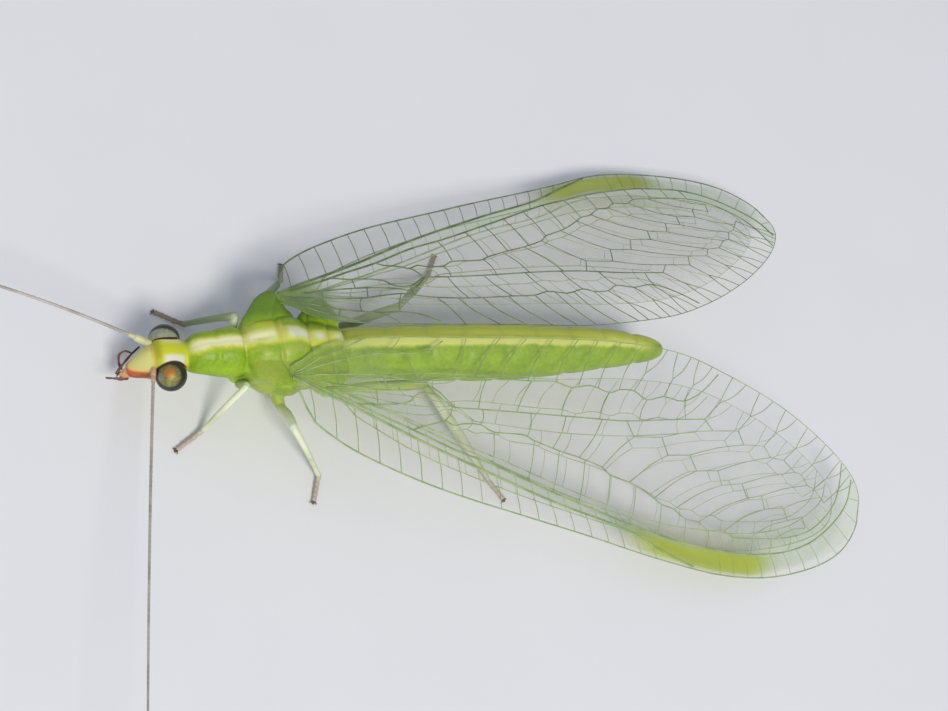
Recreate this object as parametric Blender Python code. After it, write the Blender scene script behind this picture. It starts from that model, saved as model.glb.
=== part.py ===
"""Green lacewing, a still life-size model of the insect standing on its six feet.

The head points to -X, the abdomen to +X, the insect's left side is -Y and up is +Z.
Lengths below are millimetres and angles are degrees. The meshes are built in metres.
"""
import bmesh
import bpy
import math
from mathutils import Vector
from mathutils.bvhtree import BVHTree

MM = 0.001
CUT = 0.03
LIMB_THICKNESS = 0.50
WING_THICKNESS = 0.50
WING_GAP = 0.03

# Head, which hangs a little forward and down.
HEAD_STATIONS = (
    # along X, height of the axis, half width, half height
    (-5.33, 1.27, 0.24, 0.22),
    (-5.38, 1.27, 0.33, 0.31),
    (-5.55, 1.27, 0.43, 0.39),
    (-5.75, 1.24, 0.46, 0.41),
    (-5.93, 1.17, 0.40, 0.39),
    (-6.09, 1.05, 0.31, 0.32),
    (-6.23, 0.91, 0.23, 0.23),
    (-6.31, 0.83, 0.17, 0.15),
)
HEAD_TILT = 36.0
EYE_RADIUS = 0.30
EYE_CENTRE = (-5.66, 0.40, 1.32)
MOUTH_STATIONS = (
    (-6.31, 0.76, 0.19, 0.15),
    (-6.39, 0.69, 0.17, 0.13),
    (-6.47, 0.62, 0.13, 0.11),
    (-6.53, 0.57, 0.08, 0.07),
)
PALP_THICKNESS = 0.30
PALP_PATH = ((-6.42, 0.20, 0.64), (-6.54, 0.19, 0.65), (-6.67, 0.18, 0.67), (-6.80, 0.17, 0.69))

# Feelers: a thick first joint, then a long thread of even thickness.
ANTENNA_LEFT_ROOT = (-5.98, -0.19, 1.36)
ANTENNA_RIGHT_ROOT = (-5.98, 0.26, 1.40)
ANTENNA_SCAPE_LENGTH = 0.42
ANTENNA_LENGTH = 11.0
ANTENNA_RISE = 12.0
ANTENNA_LEFT_HEADING = 75.0
ANTENNA_LEFT_SWEEP = 1.7
ANTENNA_RIGHT_HEADING = 21.0
ANTENNA_RIGHT_SWEEP = -12.0

# Trunk: three rings of body along X.
PROTHORAX_STATIONS = (
    (-5.30, 1.40, 0.34, 0.30),
    (-5.22, 1.43, 0.40, 0.36),
    (-5.00, 1.48, 0.44, 0.41),
    (-4.70, 1.49, 0.49, 0.46),
    (-4.45, 1.49, 0.53, 0.50),
    (-4.30, 1.47, 0.52, 0.50),
)
MESOTHORAX_STATIONS = (
    (-4.27, 1.44, 0.50, 0.52),
    (-4.18, 1.41, 0.55, 0.62),
    (-3.95, 1.37, 0.68, 0.78),
    (-3.60, 1.31, 0.84, 0.89),
    (-3.25, 1.30, 0.80, 0.87),
    (-3.02, 1.31, 0.70, 0.79),
)
METATHORAX_STATIONS = (
    (-2.99, 1.31, 0.66, 0.75),
    (-2.80, 1.32, 0.68, 0.74),
    (-2.50, 1.34, 0.62, 0.68),
    (-2.25, 1.36, 0.52, 0.60),
)
ABDOMEN_START = -2.22
ABDOMEN_END = 5.12
ABDOMEN_SEGMENTS = 9
ABDOMEN_STATIONS = (
    (0.00, 1.42, 0.46, 0.54),
    (0.15, 1.39, 0.50, 0.57),
    (0.32, 1.36, 0.56, 0.60),
    (0.50, 1.35, 0.57, 0.60),
    (0.664, 1.37, 0.50, 0.51),
    (0.79, 1.42, 0.43, 0.44),
    (0.869, 1.41, 0.36, 0.36),
    (0.941, 1.38, 0.27, 0.27),
    (0.981, 1.36, 0.18, 0.18),
    (1.00, 1.35, 0.10, 0.10),
)
ABDOMEN_RING_DEPTH = 0.018

# Legs: hip, hip end, knee, ankle and toe, given for each side because the stance isn't even.
LEGS = {
    "fore_left": ((-4.56, -0.22, 1.15), (-4.44, -0.52, 0.86), (-4.42, -0.94, 1.50),
                  (-4.81, -1.01, 0.42), (-5.38, -1.38, 0.22)),
    "fore_right": ((-4.60, 0.24, 1.15), (-4.49, 0.47, 0.86), (-4.20, 0.80, 1.55),
                   (-4.76, 1.28, 0.42), (-5.33, 1.69, 0.22)),
    "mid_left": ((-3.55, -0.38, 1.00), (-3.48, -0.82, 0.66), (-3.60, -1.76, 1.54),
                 (-2.77, -2.20, 0.50), (-2.82, -2.62, 0.22)),
    "mid_right": ((-3.55, 0.38, 1.00), (-3.50, 0.76, 0.66), (-3.50, 1.26, 1.36),
                  (-2.62, 2.24, 0.50), (-2.40, 2.80, 0.22)),
    "hind_left": ((-2.61, -0.37, 1.02), (-2.49, -0.67, 0.66), (-0.30, -0.53, 0.70),
                  (0.84, -2.22, 0.44), (1.21, -2.76, 0.22)),
    "hind_right": ((-2.62, 0.36, 1.02), (-2.50, 0.66, 0.66), (-0.50, 1.21, 1.22),
                   (0.77, 2.44, 0.44), (1.09, 3.02, 0.22)),
}

# Wings. A station is a share of the length, the front edge and the rear edge across the wing.
FOREWING_LENGTH = 13.10
FOREWING_STATIONS = (
    (0.00, 0.20, -0.22),
    (0.06, 0.82, -0.70),
    (0.13, 1.13, -1.22),
    (0.25, 1.40, -1.63),
    (0.40, 1.54, -2.12),
    (0.52, 1.63, -2.46),
    (0.64, 1.74, -2.61),
    (0.74, 1.78, -2.43),
    (0.83, 1.61, -2.11),
    (0.91, 1.22, -1.66),
    (0.965, 0.74, -1.20),
    (0.99, 0.28, -0.84),
    (1.00, -0.32, -0.32),
)
HINDWING_LENGTH = 11.60
HINDWING_STATIONS = (
    (0.00, 0.24, -0.20),
    (0.08, 0.55, -0.10),
    (0.18, 0.86, 0.06),
    (0.27, 1.03, 0.02),
    (0.33, 1.12, -0.72),
    (0.42, 1.22, -1.34),
    (0.55, 1.32, -1.80),
    (0.68, 1.38, -1.96),
    (0.80, 1.22, -1.76),
    (0.90, 0.86, -1.34),
    (0.965, 0.46, -0.92),
    (0.99, 0.16, -0.66),
    (1.00, -0.26, -0.26),
)
FOREWING_ROOT_LEFT = (-3.60, -0.84, 1.98)
FOREWING_ROOT_RIGHT = (-3.52, 0.94, 1.98)
HINDWING_START = 0.92
WING_SPLAY = 13.6
WING_PITCH = 6.0
WING_SLOPE = 16.3

GREEN = (0.330, 0.520, 0.060)
LEG_GREEN = (0.520, 0.620, 0.300)
YELLOW_GREEN = (0.520, 0.560, 0.080)
TAN = (0.420, 0.330, 0.220)
EYE_DARK = (0.045, 0.060, 0.050)
MOUTH_BROWN = (0.330, 0.130, 0.060)
WING_CLEAR = (0.620, 0.700, 0.600)


def remove_everything():
    """Empties the file."""
    for item in list(bpy.data.objects):
        bpy.data.objects.remove(item, do_unlink=True)


def finish_material(slot, colour, roughness):
    """Gives a plain surface of one colour under the slot's name."""
    material = bpy.data.materials.get(slot)
    if material is None:
        material = bpy.data.materials.new(slot)
        material.use_nodes = True
        shader = material.node_tree.nodes["Principled BSDF"]
        shader.inputs["Base Color"].default_value = (*colour, 1.0)
        shader.inputs["Roughness"].default_value = roughness
        material.diffuse_color = (*colour, 1.0)
    return material


def catmull(values, position):
    """Reads a smooth curve through evenly numbered values at a fractional position."""
    last = len(values) - 1
    position = min(max(position, 0.0), last)
    index = min(int(position), last - 1)
    part = position - index
    before = values[max(index - 1, 0)]
    here = values[index]
    after = values[index + 1]
    beyond = values[min(index + 2, last)]
    slope_in = (after - before) / 2.0
    slope_out = (beyond - here) / 2.0
    square = part * part
    cube = square * part
    return (
        (2 * cube - 3 * square + 1) * here
        + (cube - 2 * square + part) * slope_in
        + (-2 * cube + 3 * square) * after
        + (cube - square) * slope_out
    )


def station_value(stations, column, key, power=1.0):
    """Reads one column of a station table by its first column, smoothly."""
    keys = [row[0] for row in stations]
    last = len(keys) - 1
    if key <= keys[0]:
        return stations[0][column]
    if key >= keys[last]:
        return stations[last][column]
    index = 0
    while keys[index + 1] < key:
        index += 1
    part = (key - keys[index]) / (keys[index + 1] - keys[index])
    if power != 1.0 and index >= last - 1:
        part = 1.0 - (1.0 - part) ** power
    return catmull([row[column] for row in stations], index + part)


def mesh_object(name, points, faces, slot, colour, roughness=0.5):
    """Makes one closed solid from points in millimetres."""
    mesh = bpy.data.meshes.new(name)
    mesh.from_pydata([tuple(c * MM for c in p) for p in points], [], faces)
    shape = bmesh.new()
    shape.from_mesh(mesh)
    bmesh.ops.remove_doubles(shape, verts=shape.verts, dist=1e-8)
    bmesh.ops.recalc_face_normals(shape, faces=shape.faces)
    if shape.calc_volume(signed=True) < 0:
        bmesh.ops.reverse_faces(shape, faces=shape.faces)
    shape.to_mesh(mesh)
    shape.free()
    item = bpy.data.objects.new(name, mesh)
    bpy.context.collection.objects.link(item)
    mesh.materials.append(finish_material(slot, colour, roughness))
    return item


def loft(rings):
    """Joins rings of equal count into points and faces, closed by a fan at each end."""
    points = []
    faces = []
    count = len(rings[0])
    for ring in rings:
        points.extend(ring)
    for level in range(len(rings) - 1):
        for side in range(count):
            other = (side + 1) % count
            low = level * count
            high = low + count
            faces.append((low + side, low + other, high + other, high + side))
    for level in (0, len(rings) - 1):
        ring = rings[level]
        centre = tuple(sum(p[axis] for p in ring) / count for axis in range(3))
        points.append(centre)
        hub = len(points) - 1
        for side in range(count):
            other = (side + 1) % count
            faces.append((level * count + side, level * count + other, hub))
    return points, faces


def body_ring(x, height, half_width, half_height, sides, tilt=0.0):
    """An upright oval section of the body, leaned back by a tilt where the body hangs."""
    ring = []
    for side in range(sides):
        angle = 2 * math.pi * (side + 0.5) / sides
        across = half_width * math.cos(angle)
        up = half_height * math.sin(angle)
        ring.append((
            x - up * math.sin(math.radians(tilt)),
            across,
            height + up * math.cos(math.radians(tilt)),
        ))
    return ring


def body_part(name, stations, sides, steps, slot, colour, grow=0.0, tilts=None):
    """A body ring of the trunk or head, lofted through its stations."""
    rings = []
    total = (len(stations) - 1) * steps
    columns = list(zip(*stations))
    for step in range(total + 1):
        position = step / steps
        x, height, width, depth = (catmull(column, position) for column in columns)
        tilt = 0.0 if tilts is None else catmull(tilts, position)
        if grow:
            x += grow * (-1 if step == 0 else 1 if step == total else 0)
        rings.append(body_ring(x, height, width + grow, depth + grow, sides, tilt))
    points, faces = loft(rings)
    return mesh_object(name, points, faces, slot, colour)


def ball(name, centre, radius, rings, sides, slot, colour, roughness=0.5):
    """A faceted ball with closed poles on its side axis."""
    points = []
    faces = []
    for ring in range(1, rings):
        polar = math.pi * ring / rings
        for side in range(sides):
            angle = 2 * math.pi * side / sides
            points.append((
                centre[0] + radius * math.sin(polar) * math.cos(angle),
                centre[1] + radius * math.cos(polar),
                centre[2] + radius * math.sin(polar) * math.sin(angle),
            ))
    for ring in range(rings - 2):
        for side in range(sides):
            other = (side + 1) % sides
            low = ring * sides
            high = low + sides
            faces.append((low + side, low + other, high + other, high + side))
    for pole, ring in ((1.0, 0), (-1.0, rings - 2)):
        points.append((centre[0], centre[1] + pole * radius, centre[2]))
        hub = len(points) - 1
        for side in range(sides):
            other = (side + 1) % sides
            faces.append((ring * sides + side, ring * sides + other, hub))
    return mesh_object(name, points, faces, slot, colour, roughness)


def tube_rings(path, radii, start_plane, end_plane, sides):
    """Rings along a path. The end rings lie in the given planes, so neighbours meet on a mitre."""
    rings = []
    points = [Vector(p) for p in path]
    last = len(points) - 1
    for index, point in enumerate(points):
        ahead = points[min(index + 1, last)] - points[max(index, 1) - 1] if index in (0, last) else (
            points[index + 1] - points[index - 1])
        direction = ahead.normalized()
        guide = Vector((0, 0, 1)) if abs(direction.z) < 0.9 else Vector((1, 0, 0))
        first = direction.cross(guide).normalized()
        second = first.cross(direction).normalized()
        plane = start_plane if index == 0 else end_plane if index == last else None
        ring = []
        for side in range(sides):
            angle = 2 * math.pi * (side + 0.5) / sides
            offset = (first * math.cos(angle) + second * math.sin(angle)) * radii[index]
            place = point + offset
            if plane is not None:
                anchor, normal = plane
                shift = -(place - anchor).dot(normal) / direction.dot(normal)
                inward = shift if index == 0 else -shift
                inward = max(inward, -0.75 * radii[index])
                place = place + direction * (inward if index == 0 else -inward)
            ring.append(tuple(place))
        rings.append(ring)
    return rings


def between(first, second, share):
    """The point at a share of the way from one point to another."""
    return tuple(a + (b - a) * share for a, b in zip(first, second))


def limb(name, path, radii, start_plane, end_plane, sides, slot, colour, floor=False):
    """One length of a limb as a closed solid."""
    rings = tube_rings(path, radii, start_plane, end_plane, sides)
    if floor:
        rings = [[(p[0], p[1], max(p[2], 0.0)) for p in ring] for ring in rings]
    points, faces = loft(rings)
    return mesh_object(name, points, faces, slot, colour)


def joint_plane(before, here, after, gap):
    """The mitre plane of a joint, moved by half the cut along the limb."""
    incoming = (Vector(here) - Vector(before)).normalized()
    outgoing = (Vector(after) - Vector(here)).normalized()
    normal = (incoming + outgoing).normalized()
    return Vector(here) + normal * gap, normal


def build_leg(side_name, joints):
    """Hip, thigh, shin and foot of one leg."""
    hip, hip_end, knee, ankle, toe = joints
    radius = LIMB_THICKNESS / 2
    half = CUT / 2
    chain = (hip, hip_end, knee, ankle, toe)
    names = ("coxa", "femur", "tibia", "tarsus")
    swell = {"coxa": 1.12, "femur": 1.06, "tibia": 1.0, "tarsus": 1.0}
    made = []
    for index, part in enumerate(names):
        start = chain[index]
        end = chain[index + 1]
        direction = (Vector(end) - Vector(start)).normalized()
        if index == 0:
            start_plane = (Vector(start), direction)
        else:
            start_plane = joint_plane(chain[index - 1], start, end, half)
        if index == len(names) - 1:
            end_plane = (Vector(end), Vector((direction.x, direction.y, 0.0)).normalized())
        else:
            end_plane = joint_plane(start, end, chain[index + 2], -half)
        shares = (0.0, 0.34, 0.67, 1.0)
        path = [between(start, end, share) for share in shares]
        widths = [radius, radius * swell[part], radius * swell[part], radius]
        made.append(limb(
            f"leg_{side_name}_{part}", path, widths, start_plane, end_plane, 10,
            "leg_tarsus" if part == "tarsus" else "leg_green",
            TAN if part == "tarsus" else LEG_GREEN,
            floor=part == "tarsus",
        ))
    return made


def wing_axes(side):
    """Length, width and upward directions of a wing. The width runs out to the front edge."""
    splay = math.radians(WING_SPLAY)
    pitch = math.radians(WING_PITCH)
    slope = math.radians(WING_SLOPE)
    along = Vector((
        math.cos(splay) * math.cos(pitch),
        side * math.sin(splay) * math.cos(pitch),
        -math.sin(pitch),
    ))
    level = Vector((-math.sin(splay), side * math.cos(splay), 0.0))
    upright = along.cross(level)
    if upright.z < 0:
        upright.negate()
    across = level * math.cos(slope) - upright * math.sin(slope)
    up = along.cross(across)
    if up.z < 0:
        up.negate()
    return along, across, up


def wing(name, root, side, length, stations, low, high, count):
    """A flat wing plate: its outline from the stations, its faces at two levels of its own plane."""
    along, across, up = wing_axes(side)
    origin = Vector(root)
    bevel = 0.06
    rows = []
    for index in range(count + 1):
        share = index / count
        key = math.sin(share * math.pi / 2) ** 1.1
        front = station_value(stations, 1, key, 2.0)
        rear = station_value(stations, 2, key, 2.0)
        if index == count:
            continue
        rows.append((key * length, front, rear))
    tip = (length, stations[-1][1])
    outline = [(u, front) for u, front, _ in rows] + [tip] + [(u, rear) for u, _, rear in reversed(rows)]
    centre_u = sum(p[0] for p in outline) / len(outline)
    centre_v = sum(p[1] for p in outline) / len(outline)
    rings = []
    for level, inset in ((low, bevel), (low + bevel, 0.0), (high - bevel, 0.0), (high, bevel)):
        ring = []
        for u, v in outline:
            reach = math.hypot(u - centre_u, v - centre_v)
            shrink = 1.0 - inset / max(reach, 0.5)
            place = (
                origin
                + along * (centre_u + (u - centre_u) * shrink)
                + across * (centre_v + (v - centre_v) * shrink)
                + up * level
            )
            ring.append((place.x, place.y, max(place.z, 0.0)))
        rings.append(ring)
    points = [p for ring in rings for p in ring]
    faces = []
    size = len(outline)
    for level in range(3):
        for spot in range(size):
            other = (spot + 1) % size
            faces.append((
                level * size + spot, level * size + other,
                (level + 1) * size + other, (level + 1) * size + spot,
            ))
    chords = len(rows)
    for base in (0, 3 * size):
        for row in range(chords - 1):
            faces.append((base + row, base + row + 1, base + size - 2 - row, base + size - 1 - row))
        faces.append((base + chords - 1, base + chords, base + chords + 1))
    colour = WING_CLEAR
    return mesh_object(name, points, faces, "wing_membrane", colour, 0.3)


def carve(target, tool):
    """Takes the tool's space out of the target."""
    modifier = target.modifiers.new("carve", "BOOLEAN")
    modifier.operation = "DIFFERENCE"
    modifier.solver = "EXACT"
    modifier.object = tool
    graph = bpy.context.evaluated_depsgraph_get()
    carved = bpy.data.meshes.new_from_object(target.evaluated_get(graph))
    target.modifiers.clear()
    old = target.data
    name = old.name
    target.data = carved
    bpy.data.meshes.remove(old)
    carved.name = name
    shape = bmesh.new()
    shape.from_mesh(carved)
    bmesh.ops.remove_doubles(shape, verts=shape.verts, dist=2e-6)
    bmesh.ops.dissolve_degenerate(shape, edges=shape.edges, dist=2e-6)
    bmesh.ops.triangulate(shape, faces=shape.faces)
    keep_largest(shape)
    shape.to_mesh(carved)
    shape.free()


def keep_largest(shape):
    """Leaves the largest closed shell of a shape."""
    unseen = set(shape.verts)
    shells = []
    while unseen:
        start = unseen.pop()
        group = {start}
        stack = [start]
        while stack:
            for edge in stack.pop().link_edges:
                for vert in edge.verts:
                    if vert in unseen:
                        unseen.discard(vert)
                        group.add(vert)
                        stack.append(vert)
        shells.append(group)
    shells.sort(key=len)
    for group in shells[:-1]:
        bmesh.ops.delete(shape, geom=list(group), context="VERTS")


def swollen(item, amount):
    """A temporary copy of a solid, grown along its normals by an amount in millimetres."""
    mesh = item.data.copy()
    shape = bmesh.new()
    shape.from_mesh(mesh)
    shape.normal_update()
    moved = [(v, v.co + v.normal * amount * MM * v.calc_shell_factor()) for v in shape.verts]
    for vert, place in moved:
        vert.co = place
    shape.to_mesh(mesh)
    shape.free()
    copy = bpy.data.objects.new("tool", mesh)
    bpy.context.collection.objects.link(copy)
    return copy


def touches(first, second):
    """Whether two solids' surfaces cross."""
    trees = []
    for item in (first, second):
        shape = bmesh.new()
        shape.from_mesh(item.data)
        trees.append(BVHTree.FromBMesh(shape))
        shape.free()
    return bool(trees[0].overlap(trees[1]))


def cut_back(target, others, amount=CUT):
    """Keeps the target clear of every other solid by a thin cut."""
    for other in others:
        tool = swollen(other, amount)
        if touches(target, tool):
            carve(target, tool)
        mesh = tool.data
        bpy.data.objects.remove(tool, do_unlink=True)
        bpy.data.meshes.remove(mesh)


def head_tilts(stations, tilt):
    """Lean of each head station: none at the neck, all of it at the mouth."""
    last = len(stations) - 1
    return [tilt * (index / last) for index in range(last + 1)]


def antenna(side_name, root, side, heading, sweep_angle):
    """A scape and a long thread from the front of the head."""
    radius = LIMB_THICKNESS / 2
    rise = math.radians(ANTENNA_RISE)
    sweep = math.radians(sweep_angle)

    def place(distance):
        share = distance / ANTENNA_LENGTH
        turn = math.radians(heading) + sweep * share
        climb = rise * (1.0 - 0.25 * share)
        return (
            root[0] - distance * math.cos(turn) * math.cos(climb),
            root[1] + side * distance * math.sin(turn) * math.cos(climb),
            root[2] + distance * math.sin(climb),
        )

    def facing(distance, gap):
        spot = Vector(place(distance))
        normal = (Vector(place(distance + 0.1)) - Vector(place(max(distance - 0.1, 0.0)))).normalized()
        return spot + normal * gap, normal

    scape_path = [place(d) for d in (0.0, ANTENNA_SCAPE_LENGTH * 0.5, ANTENNA_SCAPE_LENGTH)]
    scape = limb(
        f"antenna_{side_name}_scape", scape_path, (radius * 0.72, radius * 1.05, radius),
        facing(0.0, 0.0), facing(ANTENNA_SCAPE_LENGTH, -CUT / 2), 10, "antenna_tan", TAN,
    )
    steps = 12
    reach = ANTENNA_LENGTH - ANTENNA_SCAPE_LENGTH
    thread_path = [place(ANTENNA_SCAPE_LENGTH + reach * i / steps) for i in range(steps + 1)]
    thread = limb(
        f"antenna_{side_name}_flagellum", thread_path, [radius] * (steps + 1),
        facing(ANTENNA_SCAPE_LENGTH, CUT / 2), facing(ANTENNA_LENGTH, 0.0), 8, "antenna_tan", TAN,
    )
    return scape, thread


def abdomen():
    """The abdomen: a tapering barrel with a shallow waist between its rings."""
    sides = 20
    steps = ABDOMEN_SEGMENTS * 4
    rings = []
    for step in range(steps + 1):
        share = step / steps
        key = share ** 0.93
        height = station_value(ABDOMEN_STATIONS, 1, key)
        width = station_value(ABDOMEN_STATIONS, 2, key)
        depth = station_value(ABDOMEN_STATIONS, 3, key)
        groove = ABDOMEN_RING_DEPTH * math.cos(2 * math.pi * share * ABDOMEN_SEGMENTS)
        if step in (0, steps):
            groove = 0.0
        x = ABDOMEN_START + (ABDOMEN_END - ABDOMEN_START) * key
        rings.append(body_ring(x, height, width - groove, depth - groove, sides))
    points, faces = loft(rings)
    return mesh_object("abdomen", points, faces, "body_green", GREEN)


def centre_on_floor(items):
    """Puts the middle of the bounding box over the origin."""
    lows = [min(v.co[axis] for item in items for v in item.data.vertices) for axis in range(2)]
    highs = [max(v.co[axis] for item in items for v in item.data.vertices) for axis in range(2)]
    shift = Vector((-(lows[0] + highs[0]) / 2, -(lows[1] + highs[1]) / 2, 0.0))
    for item in items:
        for vert in item.data.vertices:
            vert.co += shift
    return shift


def main():
    """Builds every solid and sets the model over the origin."""
    remove_everything()
    head = body_part(
        "head", HEAD_STATIONS, 20, 2, "head_green", YELLOW_GREEN,
        tilts=head_tilts(HEAD_STATIONS, HEAD_TILT),
    )
    eyes = []
    for side_name, side in (("left", -1), ("right", 1)):
        centre = (EYE_CENTRE[0], side * EYE_CENTRE[1], EYE_CENTRE[2])
        eyes.append(ball(f"eye_{side_name}", centre, EYE_RADIUS, 12, 18, "eye", EYE_DARK, 0.2))
    cut_back(head, eyes, 0.02)
    mouth = body_part(
        "mouthparts", MOUTH_STATIONS, 14, 2, "mouth_brown", MOUTH_BROWN,
        tilts=[HEAD_TILT] * len(MOUTH_STATIONS),
    )
    cut_back(mouth, [head], 0.02)
    palps = []
    for side_name, side in (("left", -1), ("right", 1)):
        path = [(p[0], side * p[1], p[2]) for p in PALP_PATH]
        start = (Vector(path[0]), (Vector(path[1]) - Vector(path[0])).normalized())
        end = (Vector(path[-1]), (Vector(path[-1]) - Vector(path[-2])).normalized())
        palp = limb(
            f"palp_{side_name}", path, [PALP_THICKNESS / 2] * 4, start, end, 8,
            "mouth_brown", MOUTH_BROWN,
        )
        cut_back(palp, [mouth, head], 0.02)
        palps.append(palp)
    cut_back(palps[1], [palps[0]], 0.02)
    feelers = []
    feelers.extend(antenna("left", ANTENNA_LEFT_ROOT, -1, ANTENNA_LEFT_HEADING, ANTENNA_LEFT_SWEEP))
    feelers.extend(antenna(
        "right", ANTENNA_RIGHT_ROOT, 1, ANTENNA_RIGHT_HEADING, ANTENNA_RIGHT_SWEEP,
    ))
    cut_back(feelers[0], [head, eyes[0]], 0.02)
    cut_back(feelers[2], [head, eyes[1]], 0.02)
    cut_back(feelers[2], [feelers[0]], 0.02)
    trunk = [
        body_part("prothorax", PROTHORAX_STATIONS, 20, 2, "body_green", GREEN),
        body_part("mesothorax", MESOTHORAX_STATIONS, 20, 2, "body_green", GREEN),
        body_part("metathorax", METATHORAX_STATIONS, 20, 2, "body_green", GREEN),
    ]
    cut_back(trunk[0], [head], 0.02)
    belly = abdomen()
    legs = []
    for side_name, joints in LEGS.items():
        made = build_leg(side_name, joints)
        cut_back(made[0], trunk)
        cut_back(made[1], trunk + [belly])
        cut_back(made[2], [belly])
        legs.extend(made)
    wings = []
    for side_name, side, root in (("left", -1, FOREWING_ROOT_LEFT), ("right", 1, FOREWING_ROOT_RIGHT)):
        along, across, up = wing_axes(side)
        fore = wing(
            f"forewing_{side_name}", root, side, FOREWING_LENGTH, FOREWING_STATIONS,
            0.0, WING_THICKNESS, 26,
        )
        hind_root = Vector(root) + along * HINDWING_START - across * 0.05
        hind = wing(
            f"hindwing_{side_name}", hind_root, side, HINDWING_LENGTH, HINDWING_STATIONS,
            -WING_GAP - WING_THICKNESS, -WING_GAP, 24,
        )
        own = [leg for leg in legs if side_name in leg.name]
        cut_back(fore, trunk + [belly])
        cut_back(hind, trunk + [belly])
        cut_back(fore, own)
        cut_back(hind, own)
        wings.extend((fore, hind))
    cut_back(wings[2], [wings[0]])
    everything = [head, *eyes, mouth, *palps, *feelers, *trunk, belly, *legs, *wings]
    shift = centre_on_floor(everything)
    print("placed", tuple(round(c / MM, 4) for c in shift))
    return everything


main()
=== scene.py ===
"""Looks of a green lacewing: one green skin, netted clear wings, gold eyes and long feelers.

Pieces are modelled a thousand times life size, one Blender unit to a millimetre, in the insect's
own coordinates: the head points to -X, its left side is -Y and up is +Z. Each finished piece is
then set down at life size in the frame.
"""

import logging
import math
from dataclasses import dataclass
from enum import Enum
from typing import Callable, Iterable, Sequence

import bpy
from mathutils import Matrix, Vector


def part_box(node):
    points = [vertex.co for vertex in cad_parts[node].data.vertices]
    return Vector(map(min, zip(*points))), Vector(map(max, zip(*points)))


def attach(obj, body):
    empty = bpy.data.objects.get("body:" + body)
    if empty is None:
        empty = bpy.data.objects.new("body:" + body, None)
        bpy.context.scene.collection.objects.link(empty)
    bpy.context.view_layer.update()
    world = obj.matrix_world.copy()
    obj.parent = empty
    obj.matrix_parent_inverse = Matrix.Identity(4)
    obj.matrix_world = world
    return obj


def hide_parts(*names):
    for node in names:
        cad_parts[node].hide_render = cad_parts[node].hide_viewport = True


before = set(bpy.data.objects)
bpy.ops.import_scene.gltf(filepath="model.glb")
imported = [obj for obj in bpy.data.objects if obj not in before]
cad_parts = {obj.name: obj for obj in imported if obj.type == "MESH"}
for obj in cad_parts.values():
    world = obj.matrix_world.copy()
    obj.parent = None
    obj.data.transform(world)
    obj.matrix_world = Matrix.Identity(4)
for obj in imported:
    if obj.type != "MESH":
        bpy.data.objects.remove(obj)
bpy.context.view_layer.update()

LOG = logging.getLogger("lacewing")
MM = 0.001
EYE_MIDDLE = Vector((-5.66, 0.0, 1.32))
SAME_SPOT = 1e-5
SAME_SIZE = 1e-6
UPRIGHT = 0.95
TOE_HEIGHT = 0.047

# The rounded end of a tube: how far it reaches and how wide it is, in radii.
CAP_REACH = 0.55
CAP_GIRTH = 0.45

Colour = tuple[float, float, float]
Spot = tuple[float, float]
Spot3 = tuple[float, float, float]
Place = tuple["Wire", "Wire", "Wire"]


class Side(Enum):
    """Side of the insect, with the sign of its Y."""

    LEFT = -1
    RIGHT = 1

    @property
    def word(self) -> str:
        """The side's name in piece and node names."""
        return self.name.lower()


def frame_shift() -> Vector:
    """Finds how far the frame's coordinates lie from the insect's own.

    Returns:
        The shift in metres, from the middle of the two eyes.
    """
    corners = [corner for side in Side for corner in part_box(f"eye_{side.word}")]
    middle = sum(corners, Vector()) / len(corners)
    return middle - EYE_MIDDLE * MM


SHIFT = frame_shift()


def smooth(value: float, low: float, high: float) -> float:
    """Rises smoothly from 0 at low to 1 at high."""
    part = min(max((value - low) / (high - low), 0.0), 1.0)
    return part * part * (3.0 - 2.0 * part)


def hump(value: float, centre: float, width: float) -> float:
    """A bell of height 1 round a centre."""
    return math.exp(-((value - centre) / width) ** 2)


def within(value: float, rise: Spot, fall: Spot) -> float:
    """1 between a smooth rise and a smooth fall, each given by its two ends."""
    return smooth(value, *rise) * (1.0 - smooth(value, *fall))


def hermite(part: float, start: float, end: float, leave: float, arrive: float) -> float:
    """Runs a cubic between two values.

    Args:
        part: Share of the way.
        start: Value at the start.
        end: Value at the end.
        leave: Slope at the start, over the whole way.
        arrive: Slope at the end, over the whole way.

    Returns:
        The value at that share.
    """
    square = part * part
    cube = square * part
    return (
        (2 * cube - 3 * square + 1) * start + (cube - 2 * square + part) * leave
        + (-2 * cube + 3 * square) * end + (cube - square) * arrive
    )


def between(start: Sequence[float], end: Sequence[float], share: float) -> tuple[float, ...]:
    """The point at a share of the way between two points."""
    return tuple(a + (b - a) * share for a, b in zip(start, end))


def curve_through(points: Sequence[Sequence[float]], steps: int) -> list[tuple[float, ...]]:
    """Runs a smooth curve through points.

    Args:
        points: Points of any dimension.
        steps: Samples to each stretch between two points.

    Returns:
        The sampled points, both ends included.
    """
    result: list[tuple[float, ...]] = []
    last = len(points) - 1
    for index in range(last):
        before, here = points[max(index - 1, 0)], points[index]
        after, beyond = points[index + 1], points[min(index + 2, last)]
        for step in range(steps):
            result.append(tuple(
                hermite(step / steps, h, a, (a - b) / 2, (y - h) / 2)
                for b, h, a, y in zip(before, here, after, beyond)
            ))
    result.append(tuple(points[last]))
    return result


def read_table(table: Sequence[Sequence[float]], column: int, key: float) -> float:
    """Reads a column of a table by its first column, in straight steps.

    Args:
        table: Rows in the order of their first column.
        column: The column to read.
        key: Value of the first column.

    Returns:
        The value there, or the end row's value beyond the table.
    """
    if key <= table[0][0]:
        return table[0][column]
    for low, high in zip(table, table[1:]):
        if key <= high[0]:
            part = (key - low[0]) / max(high[0] - low[0], 1e-9)
            return low[column] + (high[column] - low[column]) * part
    return table[-1][column]


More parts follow.
